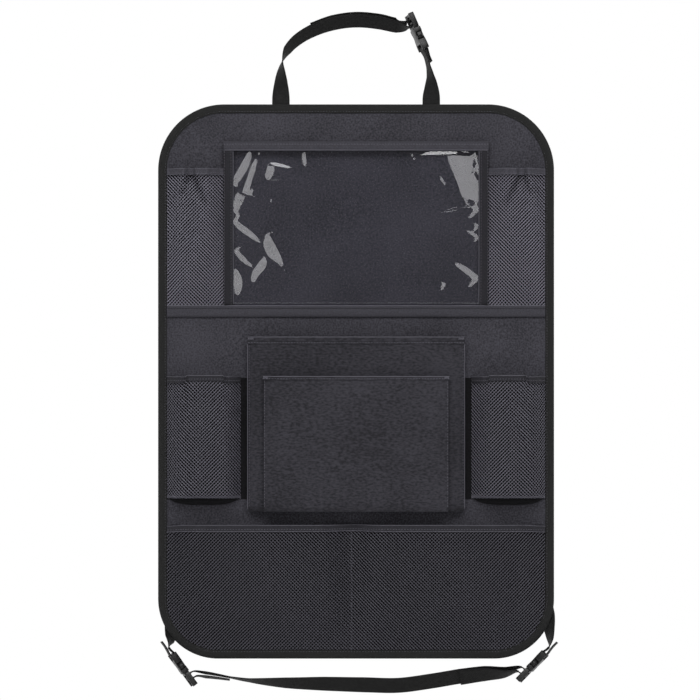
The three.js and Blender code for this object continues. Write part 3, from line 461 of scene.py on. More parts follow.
BINDING_SECTION = [
    (9.9, -0.45), (9.7, 0.0), (8.2, -0.1), (7.6, -0.02), (3.5, 0.12), (1.1, -0.1), (0.2, -0.8), (0.0, -1.8),
    (0.3, -2.7), (1.0, -3.4), (2.2, -4.1), (4.0, -4.75), (6.2, -5.2), (7.5, -5.2), (8.2, -4.7), (9.0, -5.1),
    (9.8, -4.9), (10.0, -4.3), (9.8, -3.7), (2.6, -3.2), (1.2, -2.2), (1.2, -1.5), (2.0, -1.0), (9.7, -0.9),
]


def binding_rings():
    rings, along = [], 0.0
    for x, z, out, corner in edge_stations():
        along += EDGE_STEP
        ring = []
        for inset, y in BINDING_SECTION:
            free = ease(inset - 6.0, 4.0)
            ripple = free * (0.12 + 0.45 * corner) * math.sin(along * math.tau / 8.3 + 2 * wobble(x, z, 30.0))
            width = inset + 0.35 * free * wobble(x, z, 17.0, 2.0)
            swell = -abs(ripple) if y < -2 else 0.3 * abs(ripple)
            ring.append((x - out[0] * width, y + swell, z - out[1] * width))
        rings.append(ring)
    return rings


binding = loft("binding_tape", binding_rings(), binding_finish, closed=True, sharp=60)

# %% [markdown]
# ## Straight tapes
# The band across the panel and the three tapes round the window are flat woven tapes. Each is a lofted
# section with rounded edges and a shallow groove where it is sewn.


# %% The band across the panel
def tape_rings(section, half, steps):
    rings = []
    for x in spread(-half, half, steps):
        shift = 0.15 * wobble(x, section[0][1], 23.0, 4.0)
        rings.append([(x, -off, z + shift) for off, z in section])
    return rings


band_section = [
    (5.7, 73.6), (5.65, 86.0), (6.0, 86.5), (6.6, 86.4), (7.4, 85.4), (7.9, 84.0), (7.7, 83.2), (6.5, 82.4),
    (7.6, 81.6), (8.2, 80.2), (8.3, 78.0), (8.0, 75.6), (7.4, 74.0), (6.6, 73.3),
]
divider = loft("divider_tape", tape_rings(band_section, INNER_X, 140), tape_finish)


# %% The three window tapes
def film_off(z):
    return CLOTH_BASE + 2.4 * ease(z - DIVIDER_TOP, 3.0) + 5.6 * ease(z - DIVIDER_TOP, 120.0)


def side_tape_rings(side):
    rings = []
    for z in spread(86.7, 261.2, 60):
        off = film_off(z) + 0.9
        edge = 0.15 * wobble(z, side * 9.0, 19.0, 6.0)
        section = [
            (139.6 + edge, off + 0.05), (139.3 + edge, off + 0.9), (139.9 + edge, off + 1.6),
            (141.0, off + 1.7), (141.8, off + 1.2), (143.0, off + 1.6), (146.0, off + 1.3), (148.6, off + 0.6),
            (149.8, off - 0.6), (150.1, 8.5), (150.0, 4.3), (148.7, 4.3), (148.6, 8.5), (148.5, off + 0.1),
        ]
        rings.append([(side * x, -max(o, 4.3), z) for x, o in section])
    return rings


left_tape = loft("window_tape_left_cloth", side_tape_rings(-1), shaded_side_tape_finish)
right_tape = loft("window_tape_right_cloth", side_tape_rings(1), shaded_side_tape_finish)
top_section = [
    (10.7, 261.7), (10.6, 271.0), (11.0, 271.9), (12.4, 272.3), (13.6, 271.7), (14.2, 270.6), (14.1, 269.6),
    (14.6, 268.8), (15.2, 266.4), (15.4, 264.2), (15.0, 263.3), (15.2, 262.3), (14.8, 261.5), (13.6, 261.5),
    (13.2, 262.0), (13.2, 270.2), (12.0, 270.2), (12.0, 261.7),
]
top_tape = loft("window_tape_top_cloth", tape_rings(top_section, 150.0, 90), tape_finish)

# %% [markdown]
# ## The clear film
# Soft vinyl keeps the folds it was packed with. Each fold below is a low step: it climbs over its own width
# and sinks back slowly towards the middle of the window. The lamps stand close beside the camera, so a step
# of a few degrees is enough to show as a bright patch with crisp edges, while the flat middle stays clear.

# %% Folds in the film
FOLD_SLOPE = 0.075
FOLDS = [
    # both ends of the fold as (x, z), and its greatest width; a fold that is listed twice is twice as steep
    ((-108, 262), (-131, 203), 7.0), ((-119, 262), (-138, 222), 9.0), ((-133, 214), (-137, 192), 9.0),
    ((-97, 248), (-99, 228), 11.0), ((-97, 248), (-99, 228), 9.0), ((-123, 211), (-96, 201), 4.0),
    ((-123, 211), (-96, 201), 4.0), ((-139, 183), (-108, 156), 7.0), ((-102, 168), (-86, 124), 13.0),
    ((-103, 142), (-117, 113), 10.0), ((-138, 148), (-116, 129), 5.0), ((-137, 127), (-133, 98), 9.0),
    ((-59, 262), (-58, 243), 5.5), ((-136, 192), (-133, 185), 3.0), ((112, 272), (134, 200), 30.0),
    ((62, 260), (70, 246), 3.6), ((94, 235), (101, 222), 3.0), ((122, 208), (139, 195), 6.0),
    ((135, 259), (133, 241), 5.0), ((135, 239), (138, 228), 4.0), ((120, 183), (139, 177), 3.4),
    ((121, 174), (139, 163), 3.6), ((107, 136), (139, 118), 6.5), ((80, 116), (101, 111), 4.0),
]


def fold_height(x, z, start, finish, widest):
    run_x, run_z = finish[0] - start[0], finish[1] - start[1]
    length = math.hypot(run_x, run_z)
    share = ((x - start[0]) * run_x + (z - start[1]) * run_z) / (length * length)
    if not 0 < share < 1:
        return 0.0
    across = ((x - start[0]) * run_z - (z - start[1]) * run_x) / length
    inwards = across if run_z * start[0] < 0 else -across
    inwards += 0.12 * widest * math.sin(5.0 * share + widest)
    width = widest * math.sqrt(1 - (2 * share - 1) ** 2)
    climb = FOLD_SLOPE * min(max(inwards + width / 2, 0.0), width)
    return climb * (1 - ease(inwards - width / 2, 4 * width + 0.1))


def film_surface(u, v):
    x, z = lerp(-148.0, 148.0, u), lerp(75.6, 270.0, v)
    held = ease(142.0 - abs(x), 3.0) * ease(265.0 - z, 9.0) * ease(z - 92.0, 10.0)
    sway = 0.25 * wobble(x, z, 90.0, 7.0)
    folds = sum(fold_height(x, z, *fold) for fold in FOLDS if held > 0 and fold[0][0] * x > 0)
    return (x, -(film_off(z) + 0.55 + held * (folds * ease(abs(x), 45.0) + sway)), z)


film = wall("clear_window", 250, 165, film_surface, 0.5, film_finish, sharp=180)

# %% [markdown]
# ## Net pockets
# Each net wall is one surface: how far it stands off the panel at every place. Pleats and gathers are
# dips in that surface near the hem. The mesh itself is two families of slanting strands laid on the surface,
# so that light falls through its holes. Spacing is measured along the cloth, not on the flat photograph.


# %% How far each net stands off the panel
def standoff(z, start):
    return 1.3 * ease(z - start, 30.0)


def hem_line(top):
    return top - HEM_HEIGHT - 1.0


def valley(x, z, start, end):
    run, rise = end[0] - start[0], end[1] - start[1]
    share = min(max(((x - start[0]) * run + (z - start[1]) * rise) / (run * run + rise * rise), 0.0), 1.0)
    away = math.hypot(x - start[0] - share * run, z - start[1] - share * rise)
    return (1 - ease(away, 5.0)) * (1 - 0.6 * share)


def pinched(x, z):
    return max(valley(abs(x), z, (187.0, 237.0), foot) for foot in ((198.0, 214.0), (170.0, 203.0)))


def upper_bulge(x, z):
    z = min(z, hem_line(UPPER_TOP))
    from_side = min(INNER_X - abs(x), abs(x) - UPPER_INNER)
    rise = ease(z - UPPER_FOOT, UPPER_TOP - UPPER_FOOT)
    gather = 1.2 * math.cos((abs(x) - UPPER_MIDDLE) / 13.0 * math.tau) * ease(z - UPPER_TOP + 45.0, 45.0)
    depth = 14.0 * lerp(0.35, 1.0, rise) + gather - 7.0 * pinched(x, z)
    return standoff(z, UPPER_FOOT) + max(depth, 0.0) * ease(from_side, 20.0) * ease(z - UPPER_FOOT, 18.0)


def lower_bulge(x, z):
    z = min(z, hem_line(LOWER_TOP))
    from_side = min(INNER_X - abs(x), abs(x) - LOWER_INNER)
    dip = max(1 - ease(abs(abs(x) - at), 3.5) for at in (147.0, 192.5))
    pleat = 4.0 * dip * (1 - ease(LOWER_TOP - z, 55.0))
    side = math.sin(min(from_side / 22.0, 1.0) * math.pi / 2)
    body = 26.0 * lerp(0.85, 1.0, ease(LOWER_TOP - z, 60.0)) * side * ease(z - LOWER_FOOT, 4.5)
    return standoff(z, LOWER_FOOT) + max(body - pleat, 0.0)


def bottom_bulge(x, z):
    z = min(z, hem_line(BOTTOM_TOP))
    sides = ease(half_width(z, 10.3) - abs(x), 34.0) * ease(abs(x - SEAM_X), 34.0)
    return standoff(z, BOTTOM_FOOT) + 13.0 * sides * ease(z - BOTTOM_FOOT, 60.0)

# %% Measure along the cloth; a net stretches on a steep side, so only part of the rise is its own length
NET_SHARE = 0.45
WALK = 0.5


def unroll(profile, lo, hi):
    places, lengths = [lo], [0.0]
    while places[-1] < hi:
        nxt = min(places[-1] + WALK, hi)
        rise = NET_SHARE * (profile(nxt) - profile(places[-1]))
        lengths.append(lengths[-1] + math.hypot(nxt - places[-1], rise))
        places.append(nxt)

    def back(length):
        low, high = 0, len(lengths) - 1
        while high - low > 1:
            middle = (low + high) // 2
            low, high = (middle, high) if lengths[middle] <= length else (low, middle)
        part = (length - lengths[low]) / max(lengths[high] - lengths[low], 1e-9)
        return lerp(places[low], places[high], min(max(part, 0.0), 1.0))

    return lengths[-1], back

# %% [markdown]
# ### Strands by Geometry Nodes
# Python only draws the bare lines of the net. A node tree gives each line its thickness and its material,
# so one number changes every strand. The result is baked to a plain mesh.

# %% A tree with named inputs
FLOAT, WHOLE = "NodeSocketFloat", "NodeSocketInt"


def geometry_tree(name, inputs):
    tree = bpy.data.node_groups.new(name, "GeometryNodeTree")
    for label, kind in {"Geometry": "NodeSocketGeometry", **inputs, "Finish": "NodeSocketMaterial"}.items():
        tree.interface.new_socket(label, in_out="INPUT", socket_type=kind)
    tree.interface.new_socket("Geometry", in_out="OUTPUT", socket_type="NodeSocketGeometry")
    given = tree.nodes.new("NodeGroupInput").outputs
    bare = add_node(tree, "GeometryNodeMeshToCurve", {0: given["Geometry"]}).outputs[0]
    return tree, given, bare


def finish_tree(tree, given, made):
    real = add_node(tree, "GeometryNodeRealizeInstances", {0: made})
    paint = add_node(tree, "GeometryNodeSetMaterial", {0: real.outputs[0], "Material": given["Finish"]})
    add_node(tree, "NodeGroupOutput", {0: paint.outputs[0]})


strand_tree, given, bare = geometry_tree("net_strands", {"Strand radius": FLOAT, "Strand sides": WHOLE})
ring = add_node(strand_tree, "GeometryNodeCurvePrimitiveCircle", {
    "Radius": given["Strand radius"], "Resolution": given["Strand sides"]})
girth = add_node(strand_tree, "GeometryNodeInputNamedAttribute", {"Name": "girth"}, data_type="FLOAT")
sweep = add_node(strand_tree, "GeometryNodeCurveToMesh", {
    "Curve": bare, "Profile Curve": ring.outputs[0], "Scale": girth.outputs["Attribute"], "Fill Caps": True})
finish_tree(strand_tree, given, sweep.outputs[0])


# %% Lines into a piece
def line_object(name, lines):
    """Each point is (x, y, z), or (x, y, z, girth) where a strand swells and thins."""
    points, edges, girths = [], [], []
    for line in lines:
        edges += [(len(points) + i, len(points) + i + 1) for i in range(len(line) - 1)]
        points += [Vector(p[:3]) * MM for p in line]
        girths += [p[3] if len(p) > 3 else 1.0 for p in line]
    mesh = bpy.data.meshes.new(name)
    mesh.from_pydata(points, edges, [])
    mesh.attributes.new("girth", "FLOAT", "POINT").data.foreach_set("value", girths)
    return add_object(name, mesh)


def grow(name, lines, tree, values):
    piece = line_object(name, lines)
    modifier = piece.modifiers.new(tree.name, "NODES")
    modifier.node_group = tree
    for socket in tree.interface.items_tree:
        if socket.name in values:
            modifier[socket.identifier] = values[socket.name]
    return bake(piece)


NET_PITCH = 2.85
LEAD_WIDTH = 62.0
STRAND_RADIUS = 0.5
NET_BASE = CLOTH_BASE + STRAND_RADIUS


def on_top(family, lead):
    """How far a strand stands out, and how thick it looks, where its family leads (lead near 1) or follows."""
    leads = 0.5 + 0.5 * family * lead
    return 0.7 * leads - 0.35, lerp(0.42, 1.0, leads)


def net(name, width, height, to_x, to_z, surface, finish, piece_step=4.5, inside=None):
    """Walk along each slanting strand of both families, and set a point after every piece_step of it."""
    lines = []
    reach = int((width + height) / math.sqrt(2) / NET_PITCH) + 2
    for family in (1, -1):
        for k in range(-reach, reach + 1):
            line, since = [], piece_step
            for step in range(int(width / WALK) + 1):
                s = step * WALK
                t = k * NET_PITCH * math.sqrt(2) - family * s
                if 0 <= t <= height and (inside is None or inside(to_x(s), to_z(t))):
                    if since >= piece_step:
                        line.append(surface(to_x(s), to_z(t), family))
                        since = 0.0
                    since += WALK * math.sqrt(2)
                    last = (s, t)
                elif line:
                    if since > 1.0:
                        line.append(surface(to_x(last[0]), to_z(last[1]), family))
                    if len(line) > 1:
                        lines.append(line)
                    line, since = [], piece_step
            if line:
                lines.append(line + [surface(to_x(last[0]), to_z(last[1]), family)])
    values = {"Strand radius": STRAND_RADIUS * MM, "Strand sides": 4, "Finish": finish}
    return grow(name, lines, strand_tree, values)

# %% [markdown]
# ### The five nets
# The four nets at the sides are unrolled first: their sides and feet are steep, and a strand there runs up
# the wall rather than across it. The bottom net is nearly flat and is laid as it is.


# %% Lay the strands of each net
def tab_share(x, t):
    """1 between the two pleats of a lower net and 0 on the tabs beside them; t is 0 at the hem's top."""
    return ease(abs(x) - 148.9 + 3.5 * t, 1.4) * ease(192.4 + 3.5 * t - abs(x), 1.4)


def mouth_drop(x, z=LOWER_TOP):
    return 1.7 * (1 - tab_share(x, 0.0)) * ease(z - LOWER_TOP + 40.0, 40.0)


def crush(x, z, side, inner, size, seed):
    return wobble(side * x, z, size, seed) * ease(INNER_X - x, 8.0) * ease(x - inner, 8.0)


def upper_net(label, side):
    width, to_x = unroll(lambda s: upper_bulge(s, 200.0), UPPER_INNER, INNER_X)
    height, to_z = unroll(lambda z: upper_bulge(UPPER_MIDDLE, z), 75.6, 239.5)

    def surface(x, z, family):
        lift, girth = on_top(family, side * math.sin((x - 150.0 + 0.25 * (z - 160.0)) * math.tau / LEAD_WIDTH))
        off = NET_BASE + upper_bulge(x, z) + lift + 0.7 * crush(x, z, side, UPPER_INNER, 22.0, 2.0)
        return (side * x, -off, z, girth * (1 - 0.6 * pinched(x, z)))

    piece = net(f"upper_{label}_net", width, height, to_x, to_z, surface, lit_upper_net_thread)
    return piece, (width * MM, height * MM)


def lower_net(label, side):
    width, to_x = unroll(lambda s: lower_bulge(s, -70.0), LOWER_INNER, INNER_X)
    height, to_z = unroll(lambda z: lower_bulge(LOWER_MIDDLE, z), LOWER_FOOT + 0.4, 5.8)

    def surface(x, z, family):
        lift, girth = on_top(family, side * math.cos((x - LOWER_INNER) * math.tau / LEAD_WIDTH))
        off = NET_BASE + lower_bulge(x, z) + lift + 0.8 * crush(x, z, side, LOWER_INNER, 30.0, 5.0)
        return (side * x, -off, z - mouth_drop(x, z), 0.97 * girth)

    piece = net(f"lower_{label}_net", width, height, to_x, to_z, surface, shaded_lower_net_thread)
    return piece, (width * MM, height * MM)


upper_left, upper_cut = upper_net("left", -1)
upper_right, _ = upper_net("right", 1)
lower_left, lower_cut = lower_net("left", -1)
lower_right, _ = lower_net("right", 1)
print("upper net cut:", upper_cut, "lower net cut:", lower_cut)


# %% The wide bottom net
def bottom_surface(x, z, family):
    lift, girth = on_top(family, math.cos(x * math.tau / 430.0 + 1.57 + 0.008 * z))
    crumple = 0.5 * wobble(x, z, 45.0, 9.0) * ease(z - BOTTOM_FOOT, 20.0)
    return (x, -(NET_BASE + bottom_bulge(x, z) + lift + crumple), z, 1.04 * girth)


bottom_net = net(
    "bottom_net", 2 * INNER_X, BOTTOM_TOP - 2.2 - BOTTOM_FOOT, lambda s: s - INNER_X, lambda t: BOTTOM_FOOT + t,
    bottom_surface, shaded_bottom_net_thread, 6.0, lambda x, z: abs(x) < half_width(z, BINDING_LEG),
)
bottom_area = sum(2 * half_width(BOTTOM_FOOT + 0.5 + i, BINDING_LEG) for i in range(140)) * MM * MM
print("bottom net area in square metres:", round(bottom_area, 4))


# %% A folded cloth bottom below each lower net, in the near-black cloth, which paints the dark crescent of shadow there
def net_foot_shadow(label, side):
    middle = (LOWER_INNER + INNER_X) / 2
    reach = (INNER_X - LOWER_INNER) / 2 - 1.5

    def surface(u, v):
        across = lerp(-1, 1, u)
        hang = 7.5 * (1 - across ** 4)
        swell = 2.2 * math.sin(math.pi * v) * (1 - across * across)
        return (side * middle + reach * across, -(CLOTH_BASE + 1.6 + swell), LOWER_FOOT + 0.5 - hang * (1 - v))

    return wall(f"lower_{label}_foot", 40, 6, surface, 0.8, painted_shade_finish)


lower_left_foot_shadow, lower_right_foot_shadow = net_foot_shadow("left", -1), net_foot_shadow("right", 1)

# %% [markdown]
# ## Hems
# Every net ends in a tape folded over its edge. The fold is round at the top, its front leg is a little
# puffed, and one line of stitches holds both legs. Where a pleat is sewn in, the hem steps like a folded tab.

# %% A folded hem along a net's mouth
HEM_SECTION = [
    (-1.25, -7.4), (-1.3, -1.9), (-0.9, -0.6), (0.1, 0.0), (0.9, 0.05), (1.9, -0.5), (2.35, -1.6), (2.5, -3.4),
    (2.2, -4.9), (2.5, -6.0), (2.45, -7.2), (2.1, -7.6), (1.5, -7.5), (1.35, -2.4), (0.5, -1.2), (-0.25, -2.2),
    (-0.3, -7.3),
]


def level(x, t=0.0):
    return 0.0


def bottom_drop(x):
    return 1.5 * (1 - ease(INNER_X - abs(x), 30.0))


# each mouth: how far its net stands off there, the hem's top, and how far the hem sinks below it
UPPER_MOUTH = (lambda x: upper_bulge(x, UPPER_TOP), UPPER_TOP, level)
LOWER_MOUTH = (lambda x: lower_bulge(x, LOWER_TOP), LOWER_TOP, mouth_drop)
BOTTOM_MOUTH = (lambda x: bottom_bulge(x, BOTTOM_TOP), BOTTOM_TOP, bottom_drop)


def hem(name, lo, hi, mouth, lean, finish, step=1.4):
    bulge, top, drop = mouth
    rings = []
    for x in spread(lo, hi, round((hi - lo) / step)):
        ring = []
        for off, z in HEM_SECTION:
            forward = lean(x, -z / HEM_HEIGHT) + 0.25 * wobble(x, top + z, 12.0, 3.0)
            height = top + z - drop(x) + 0.2 * wobble(x, top, 18.0, 6.0)
            ring.append((x, -(CLOTH_BASE + bulge(x) + off + (forward if off > 0.6 else 0.0)), height))
        rings.append(ring)
    return loft(name, rings, finish, sharp=60)


def side_hems(place, inner, *recipe):
    return [
        hem(f"{place}_{label}_hem_tape", *sorted((side * inner, side * INNER_X)), *recipe)
        for label, side in zip(("left", "right"), SIDES)
    ]


def lower_lean(x, t):
    return lerp(1.7 * t, 1.5 * (1 - t), tab_share(x, t))


def bottom_lean(x, t):
    return 0.9 * math.sin(math.pi * t)


upper_left_hem, upper_right_hem = side_hems("upper", UPPER_INNER, UPPER_MOUTH, lambda x, t: 1.6 * t, hem_finish)
lower_left_hem, lower_right_hem = side_hems("lower", LOWER_INNER, LOWER_MOUTH, lower_lean, shaded_low_hem_finish, 0.8)
bottom_hem = hem("bottom_hem_tape", -INNER_X, INNER_X, BOTTOM_MOUTH, bottom_lean, shaded_low_hem_finish, 2.2)

# %% [markdown]
# ## The two cloth pockets
# Each pocket is one cloth: a front wall, gussets folded in like a bellows, flanges sewn down, and a turned
# hem at the mouth. A path seen from above is carried upwards, and the front wall swells a little as it goes.


# %% A pocket seen from above, with rounded folds
def rounded_path(corners, radius, arc=4):
    path = [corners[0]]
    for before, corner, after in zip(corners, corners[1:], corners[2:]):
        a, b, c = Vector(before), Vector(corner), Vector(after)
        reach = min(radius, 0.45 * (a - b).length, 0.45 * (c - b).length)
        start, finish = b + (a - b).normalized() * reach, b + (c - b).normalized() * reach
        for t in spread(0, 1, arc):
            path.append(tuple((1 - t) ** 2 * start + 2 * t * (1 - t) * b + t * t * finish))
    return path + [corners[-1]]


def even_path(path, step):
    lengths = [0.0]
    for a, b in zip(path, path[1:]):
        lengths.append(lengths[-1] + math.dist(a, b))
    count = max(round(lengths[-1] / step), 2)
    result, k = [], 0
    for i in range(count + 1):
        goal = lengths[-1] * i / count
        while k < len(path) - 2 and lengths[k + 1] < goal:
            k += 1
        t = (goal - lengths[k]) / max(lengths[k + 1] - lengths[k], 1e-9)
        result.append((lerp(path[k][0], path[k + 1][0], t), lerp(path[k][1], path[k + 1][1], t)))
    return result, lengths[-1]


Pocket = namedtuple("Pocket", "half top bottom back depth swell seed finish")
DOCUMENT = Pocket(123.5, 51.2, -147.5, -4.4, 18.0, 0.8, 11.0, pocket_finish)
FRONT = Pocket(106.0, 6.7, -146.4, -22.7, 11.0, 1.0, 17.0, front_pocket_finish)


def gusset_pocket(name, pocket):
    half, top, bottom, back, depth, swell, seed, finish = pocket
    front, middle = back - depth, back - depth / 2
    corners = [
        (-half + 9, back), (-half + 0.8, back), (-half + 6, middle), (-half + 0.2, front), (half - 0.2, front),
        (half - 6, middle), (half - 0.8, back), (half - 9, back),
    ]
    path, around = even_path(rounded_path(corners, 2.2), 2.6)
    columns, rows = len(path) - 1, round((top - bottom) / 3.2)

    def surface(u, v):
        x, y = path[round(u * columns)]
        z = lerp(bottom, top - 0.6, v)
        forward = ease((back - y) / depth, 1.0)
        foot = 1 - ease(z - bottom, 9.0)
        inner = ease(half - abs(x), 26.0)
        puff = swell * inner * ease(z - bottom, 30.0) * (0.55 + 0.45 * ease(top - z, 50.0))
        crease = 0.7 * wobble(x, z, 34.0, seed) + 0.3 * wobble(x * 0.4, z, 13.0, seed + 3)
        crease += 0.5 * wobble(x * 0.35, z, 7.0, seed + 5) * (1 - ease(top - z - 12.0, 40.0))
        shoulder = 2.4 * (1 - ease(half - abs(x), 15.0))
        y = y + forward * (depth * 0.42 * foot * foot + shoulder)
        y = y - forward * (puff + crease * (0.25 + 0.75 * inner))
        pinch = 1.2 * forward * ease(z - top + 14.0, 14.0) * (1 - inner)
        return (x * (1 - 0.004 * forward) - math.copysign(pinch, x) * 0.3, y, z)

    def on_front(x, z):
        """The place just in front of the front wall's nearest column."""
        def miss(i):
            at = surface(i / columns, 0.5)
            return abs(at[0] - x) + (50 if at[1] > surface(0.5, 0.5)[1] + 4 else 0)
        nearest = min(range(columns + 1), key=miss) / columns
        return (x, surface(nearest, (z - bottom) / (top - 0.6 - bottom))[1] - 0.1, z)

    piece = wall(name, columns, rows, surface, 1.2, finish, sharp=60)
    return piece, (around * MM, (top - bottom) * MM), on_front


document_pocket, document_cut, on_document = gusset_pocket("document_pocket_cloth", DOCUMENT)
front_pocket, front_cut, on_front_pocket = gusset_pocket("front_pocket_cloth", FRONT)


# %% Turned hems at the pockets' mouths
def mouth_face(pocket, x, z):
    """How far back the cloth lies at a pocket's mouth, without its hem."""
    inside = pocket.half - abs(x)
    puff = pocket.swell * 0.55 * ease(inside, 26.0) - 2.4 * (1 - ease(inside, 15.0))
    return pocket.back - pocket.depth + 1.5 - puff - 0.3 * wobble(x, z, 30.0, pocket.half)


def mouth_hem(name, pocket, tall):
    section = [
        (-0.3, -tall), (-0.3, -1.4), (0.0, -0.5), (0.7, 0.0), (1.5, 0.05), (2.2, -0.5), (2.45, -1.5),
        (2.5, -tall * 0.5), (2.35, -tall + 2.6), (2.05, -tall + 1.9), (2.3, -tall + 1.1), (2.2, -tall + 0.2),
        (1.9, -tall),
    ]
    rings = []
    for x in spread(-pocket.half + 0.3, pocket.half - 0.3, round(2 * pocket.half / 2.2)):
        top = pocket.top + 0.25 * wobble(x, pocket.top, 40.0, 4.0)
        rings.append([(x, mouth_face(pocket, x, z) - off, top + z) for off, z in section])
    return loft(name, rings, pocket.finish, sharp=60)


document_hem = mouth_hem("document_pocket_hem", DOCUMENT, 9.0)
front_hem = mouth_hem("front_pocket_hem", FRONT, 5.0)

# %% [markdown]
# ## Webbing
# A strap keeps its width and thickness wherever it goes. Its centre line is a smooth curve through the
# stations that the CAD strap was drawn with, and at each one the direction across the strap says how it
# is twisted. Flat straps are modelled directly: a simulation would only stretch them.


# %% A smooth line through stations, as the CAD curve makes it
def spline_point(points, along):
    last = len(points) - 1
    index = min(int(along), last - 1)
    t = along - index
    p1, p2 = points[index], points[index + 1]
    p0 = points[index - 1] if index > 0 else p1 + (p1 - p2)
    p3 = points[index + 2] if index + 2 <= last else p2 + (p2 - p1)
    d0, d1, d2 = (math.sqrt((b - a).length) for a, b in ((p0, p1), (p1, p2), (p2, p3)))
    leave = ((p1 - p0) / d0 - (p2 - p0) / (d0 + d1) + (p2 - p1) / d1) * d1
    arrive = ((p2 - p1) / d1 - (p3 - p1) / (d1 + d2) + (p3 - p2) / d2) * d1
    second, third = 3 * (p2 - p1) - 2 * leave - arrive, 2 * (p1 - p2) + leave + arrive
    return p1 + leave * t + second * t ** 2 + third * t ** 3


WEBBING_SECTION = [
    (-10.0, 0.0), (-9.75, -0.42), (-9.0, -0.62), (-4.0, -0.66), (4.0, -0.66), (9.0, -0.62), (9.75, -0.42),
    (10.0, 0.0), (9.75, 0.42), (9.0, 0.62), (4.0, 0.66), (-4.0, 0.66), (-9.0, 0.62), (-9.75, 0.42),
]


def webbing(name, stations, samples=8):
    places = [Vector(at) for at, _ in stations]
    spans = len(stations) - 1
    rings = []
    for i in range(spans * samples + 1):
        along = i / samples
        span = min(int(along), spans - 1)
        ahead, behind = min(along + 0.002, spans), max(along - 0.002, 0)
        tangent = (spline_point(places, ahead) - spline_point(places, behind)).normalized()
        across = Vector(stations[span][1]).lerp(Vector(stations[span + 1][1]), along - span)
        normal = tangent.cross(across).normalized()
        width = normal.cross(tangent).normalized()
        centre = spline_point(places, along)
        rings.append([tuple(centre + width * w + normal * n) for w, n in WEBBING_SECTION])
    return loft(name, rings, webbing_finish, sharp=75)

# %% Buckle places, and how the webbing goes round their bars
STRAP_Y = 0.5
BACK_Y = 0.95
LOOP_RADIUS = 2.55
SOCKET_BAR, PLUG_BAR = 1.6, 33.7
TAIL, TAIL_AT_BUCKLE = 2.8, 4.5


def buckle_axes(x, z, along_x, along_z, facing, tilt):
    along = Vector((along_x, 0, along_z)).normalized()
    upright = Vector((0, facing, 0))
    across = upright * math.cos(tilt) + along.cross(upright) * math.sin(tilt)
    return Vector((x, STRAP_Y, z)), along, across, along.cross(across)


top_buckle = buckle_axes(77.5, 377.3, -0.4, 0.92, -1, 0.15)
left_buckle = buckle_axes(-209.8, -309.7, 0.59, -0.81, -1, -0.2)
right_buckle = buckle_axes(215.4, -308.6, -0.7, -0.72, 1, 0.2)


def in_buckle(axes, pairs, sign=1):
    origin, along, across, normal = axes
    return [(origin + along * s + normal * n, across * sign) for s, n in pairs]


def round_bar(centre, angles):
    turns = [math.radians(angle) for angle in angles]
    return [(centre + LOOP_RADIUS * math.cos(a), LOOP_RADIUS * math.sin(a)) for a in turns]


def socket_loop(axes, run, sign=1):
    turn = round_bar(SOCKET_BAR, (-90, -45, 0, 45, 90))
    return in_buckle(axes, [(-7, -1.6), *turn, (-7, 1.6), (-run * 0.6, 1.2), (-run, 1.2)], sign)


def plug_loop(axes, sign=1):
    turn = round_bar(PLUG_BAR, (180, 135, 90, 45, 0))
    return in_buckle(axes, [(PLUG_BAR - 3.4, -7), *turn, (PLUG_BAR + 3.4, -7)], sign)


def stations(*rows):
    """Each row is a place and the direction across the strap there."""
    return [(Vector(row[:3]), Vector(row[3:]).normalized()) for row in rows]


def sewn(x, *heights):
    return stations(*((x, BACK_Y, z, 1, 0, 0) for z in heights))


def layer_on(run, first, last):
    layer = []
    for i, (at, across) in enumerate(run):
        before, after = run[max(i - 1, 0)][0], run[min(i + 1, len(run) - 1)][0]
        normal = (after - before).normalized().cross(across).normalized()
        layer.append((at + normal * lerp(first, last, i / (len(run) - 1)), across))
    return layer

# %% The upper strap in its two parts
left_leg = sewn(-85.5, 275, 305, 319) + stations(
    (-85.5, BACK_Y, 338, 0.8, -0.6, 0), (-85.2, BACK_Y, 353, 0.45, -0.88, 0),
    (-83.5, STRAP_Y, 365, 0.02, -1, 0))
arch = stations(
    (-78, STRAP_Y, 377, -0.35, -0.9, 0.25), (-67, STRAP_Y, 388.5, -0.38, -0.82, 0.42),
    (-49.5, STRAP_Y, 399, -0.28, -0.76, 0.58), (-26, STRAP_Y, 407, -0.16, -0.73, 0.66),
    (0, STRAP_Y, 410.3, 0, -0.72, 0.69), (26, STRAP_Y, 408, 0.1, -0.74, 0.66),
    (46, STRAP_Y, 403.5, 0.12, -0.8, 0.58))
free_end = layer_on(arch[2:], -TAIL, -TAIL_AT_BUCKLE)[::-1]
upper_strap_left = webbing("upper_strap_webbing_left", left_leg + arch + plug_loop(top_buckle) + free_end)
right_leg = sewn(85.5, 275, 305, 319) + stations(
    (85.5, BACK_Y, 335, 0.75, -0.66, 0), (84.6, BACK_Y, 347, 0.4, -0.92, 0),
    (82.4, STRAP_Y, 358, 0.2, -0.98, 0))
upper_strap_right = webbing("upper_strap_webbing_right", right_leg + socket_loop(top_buckle, 16))

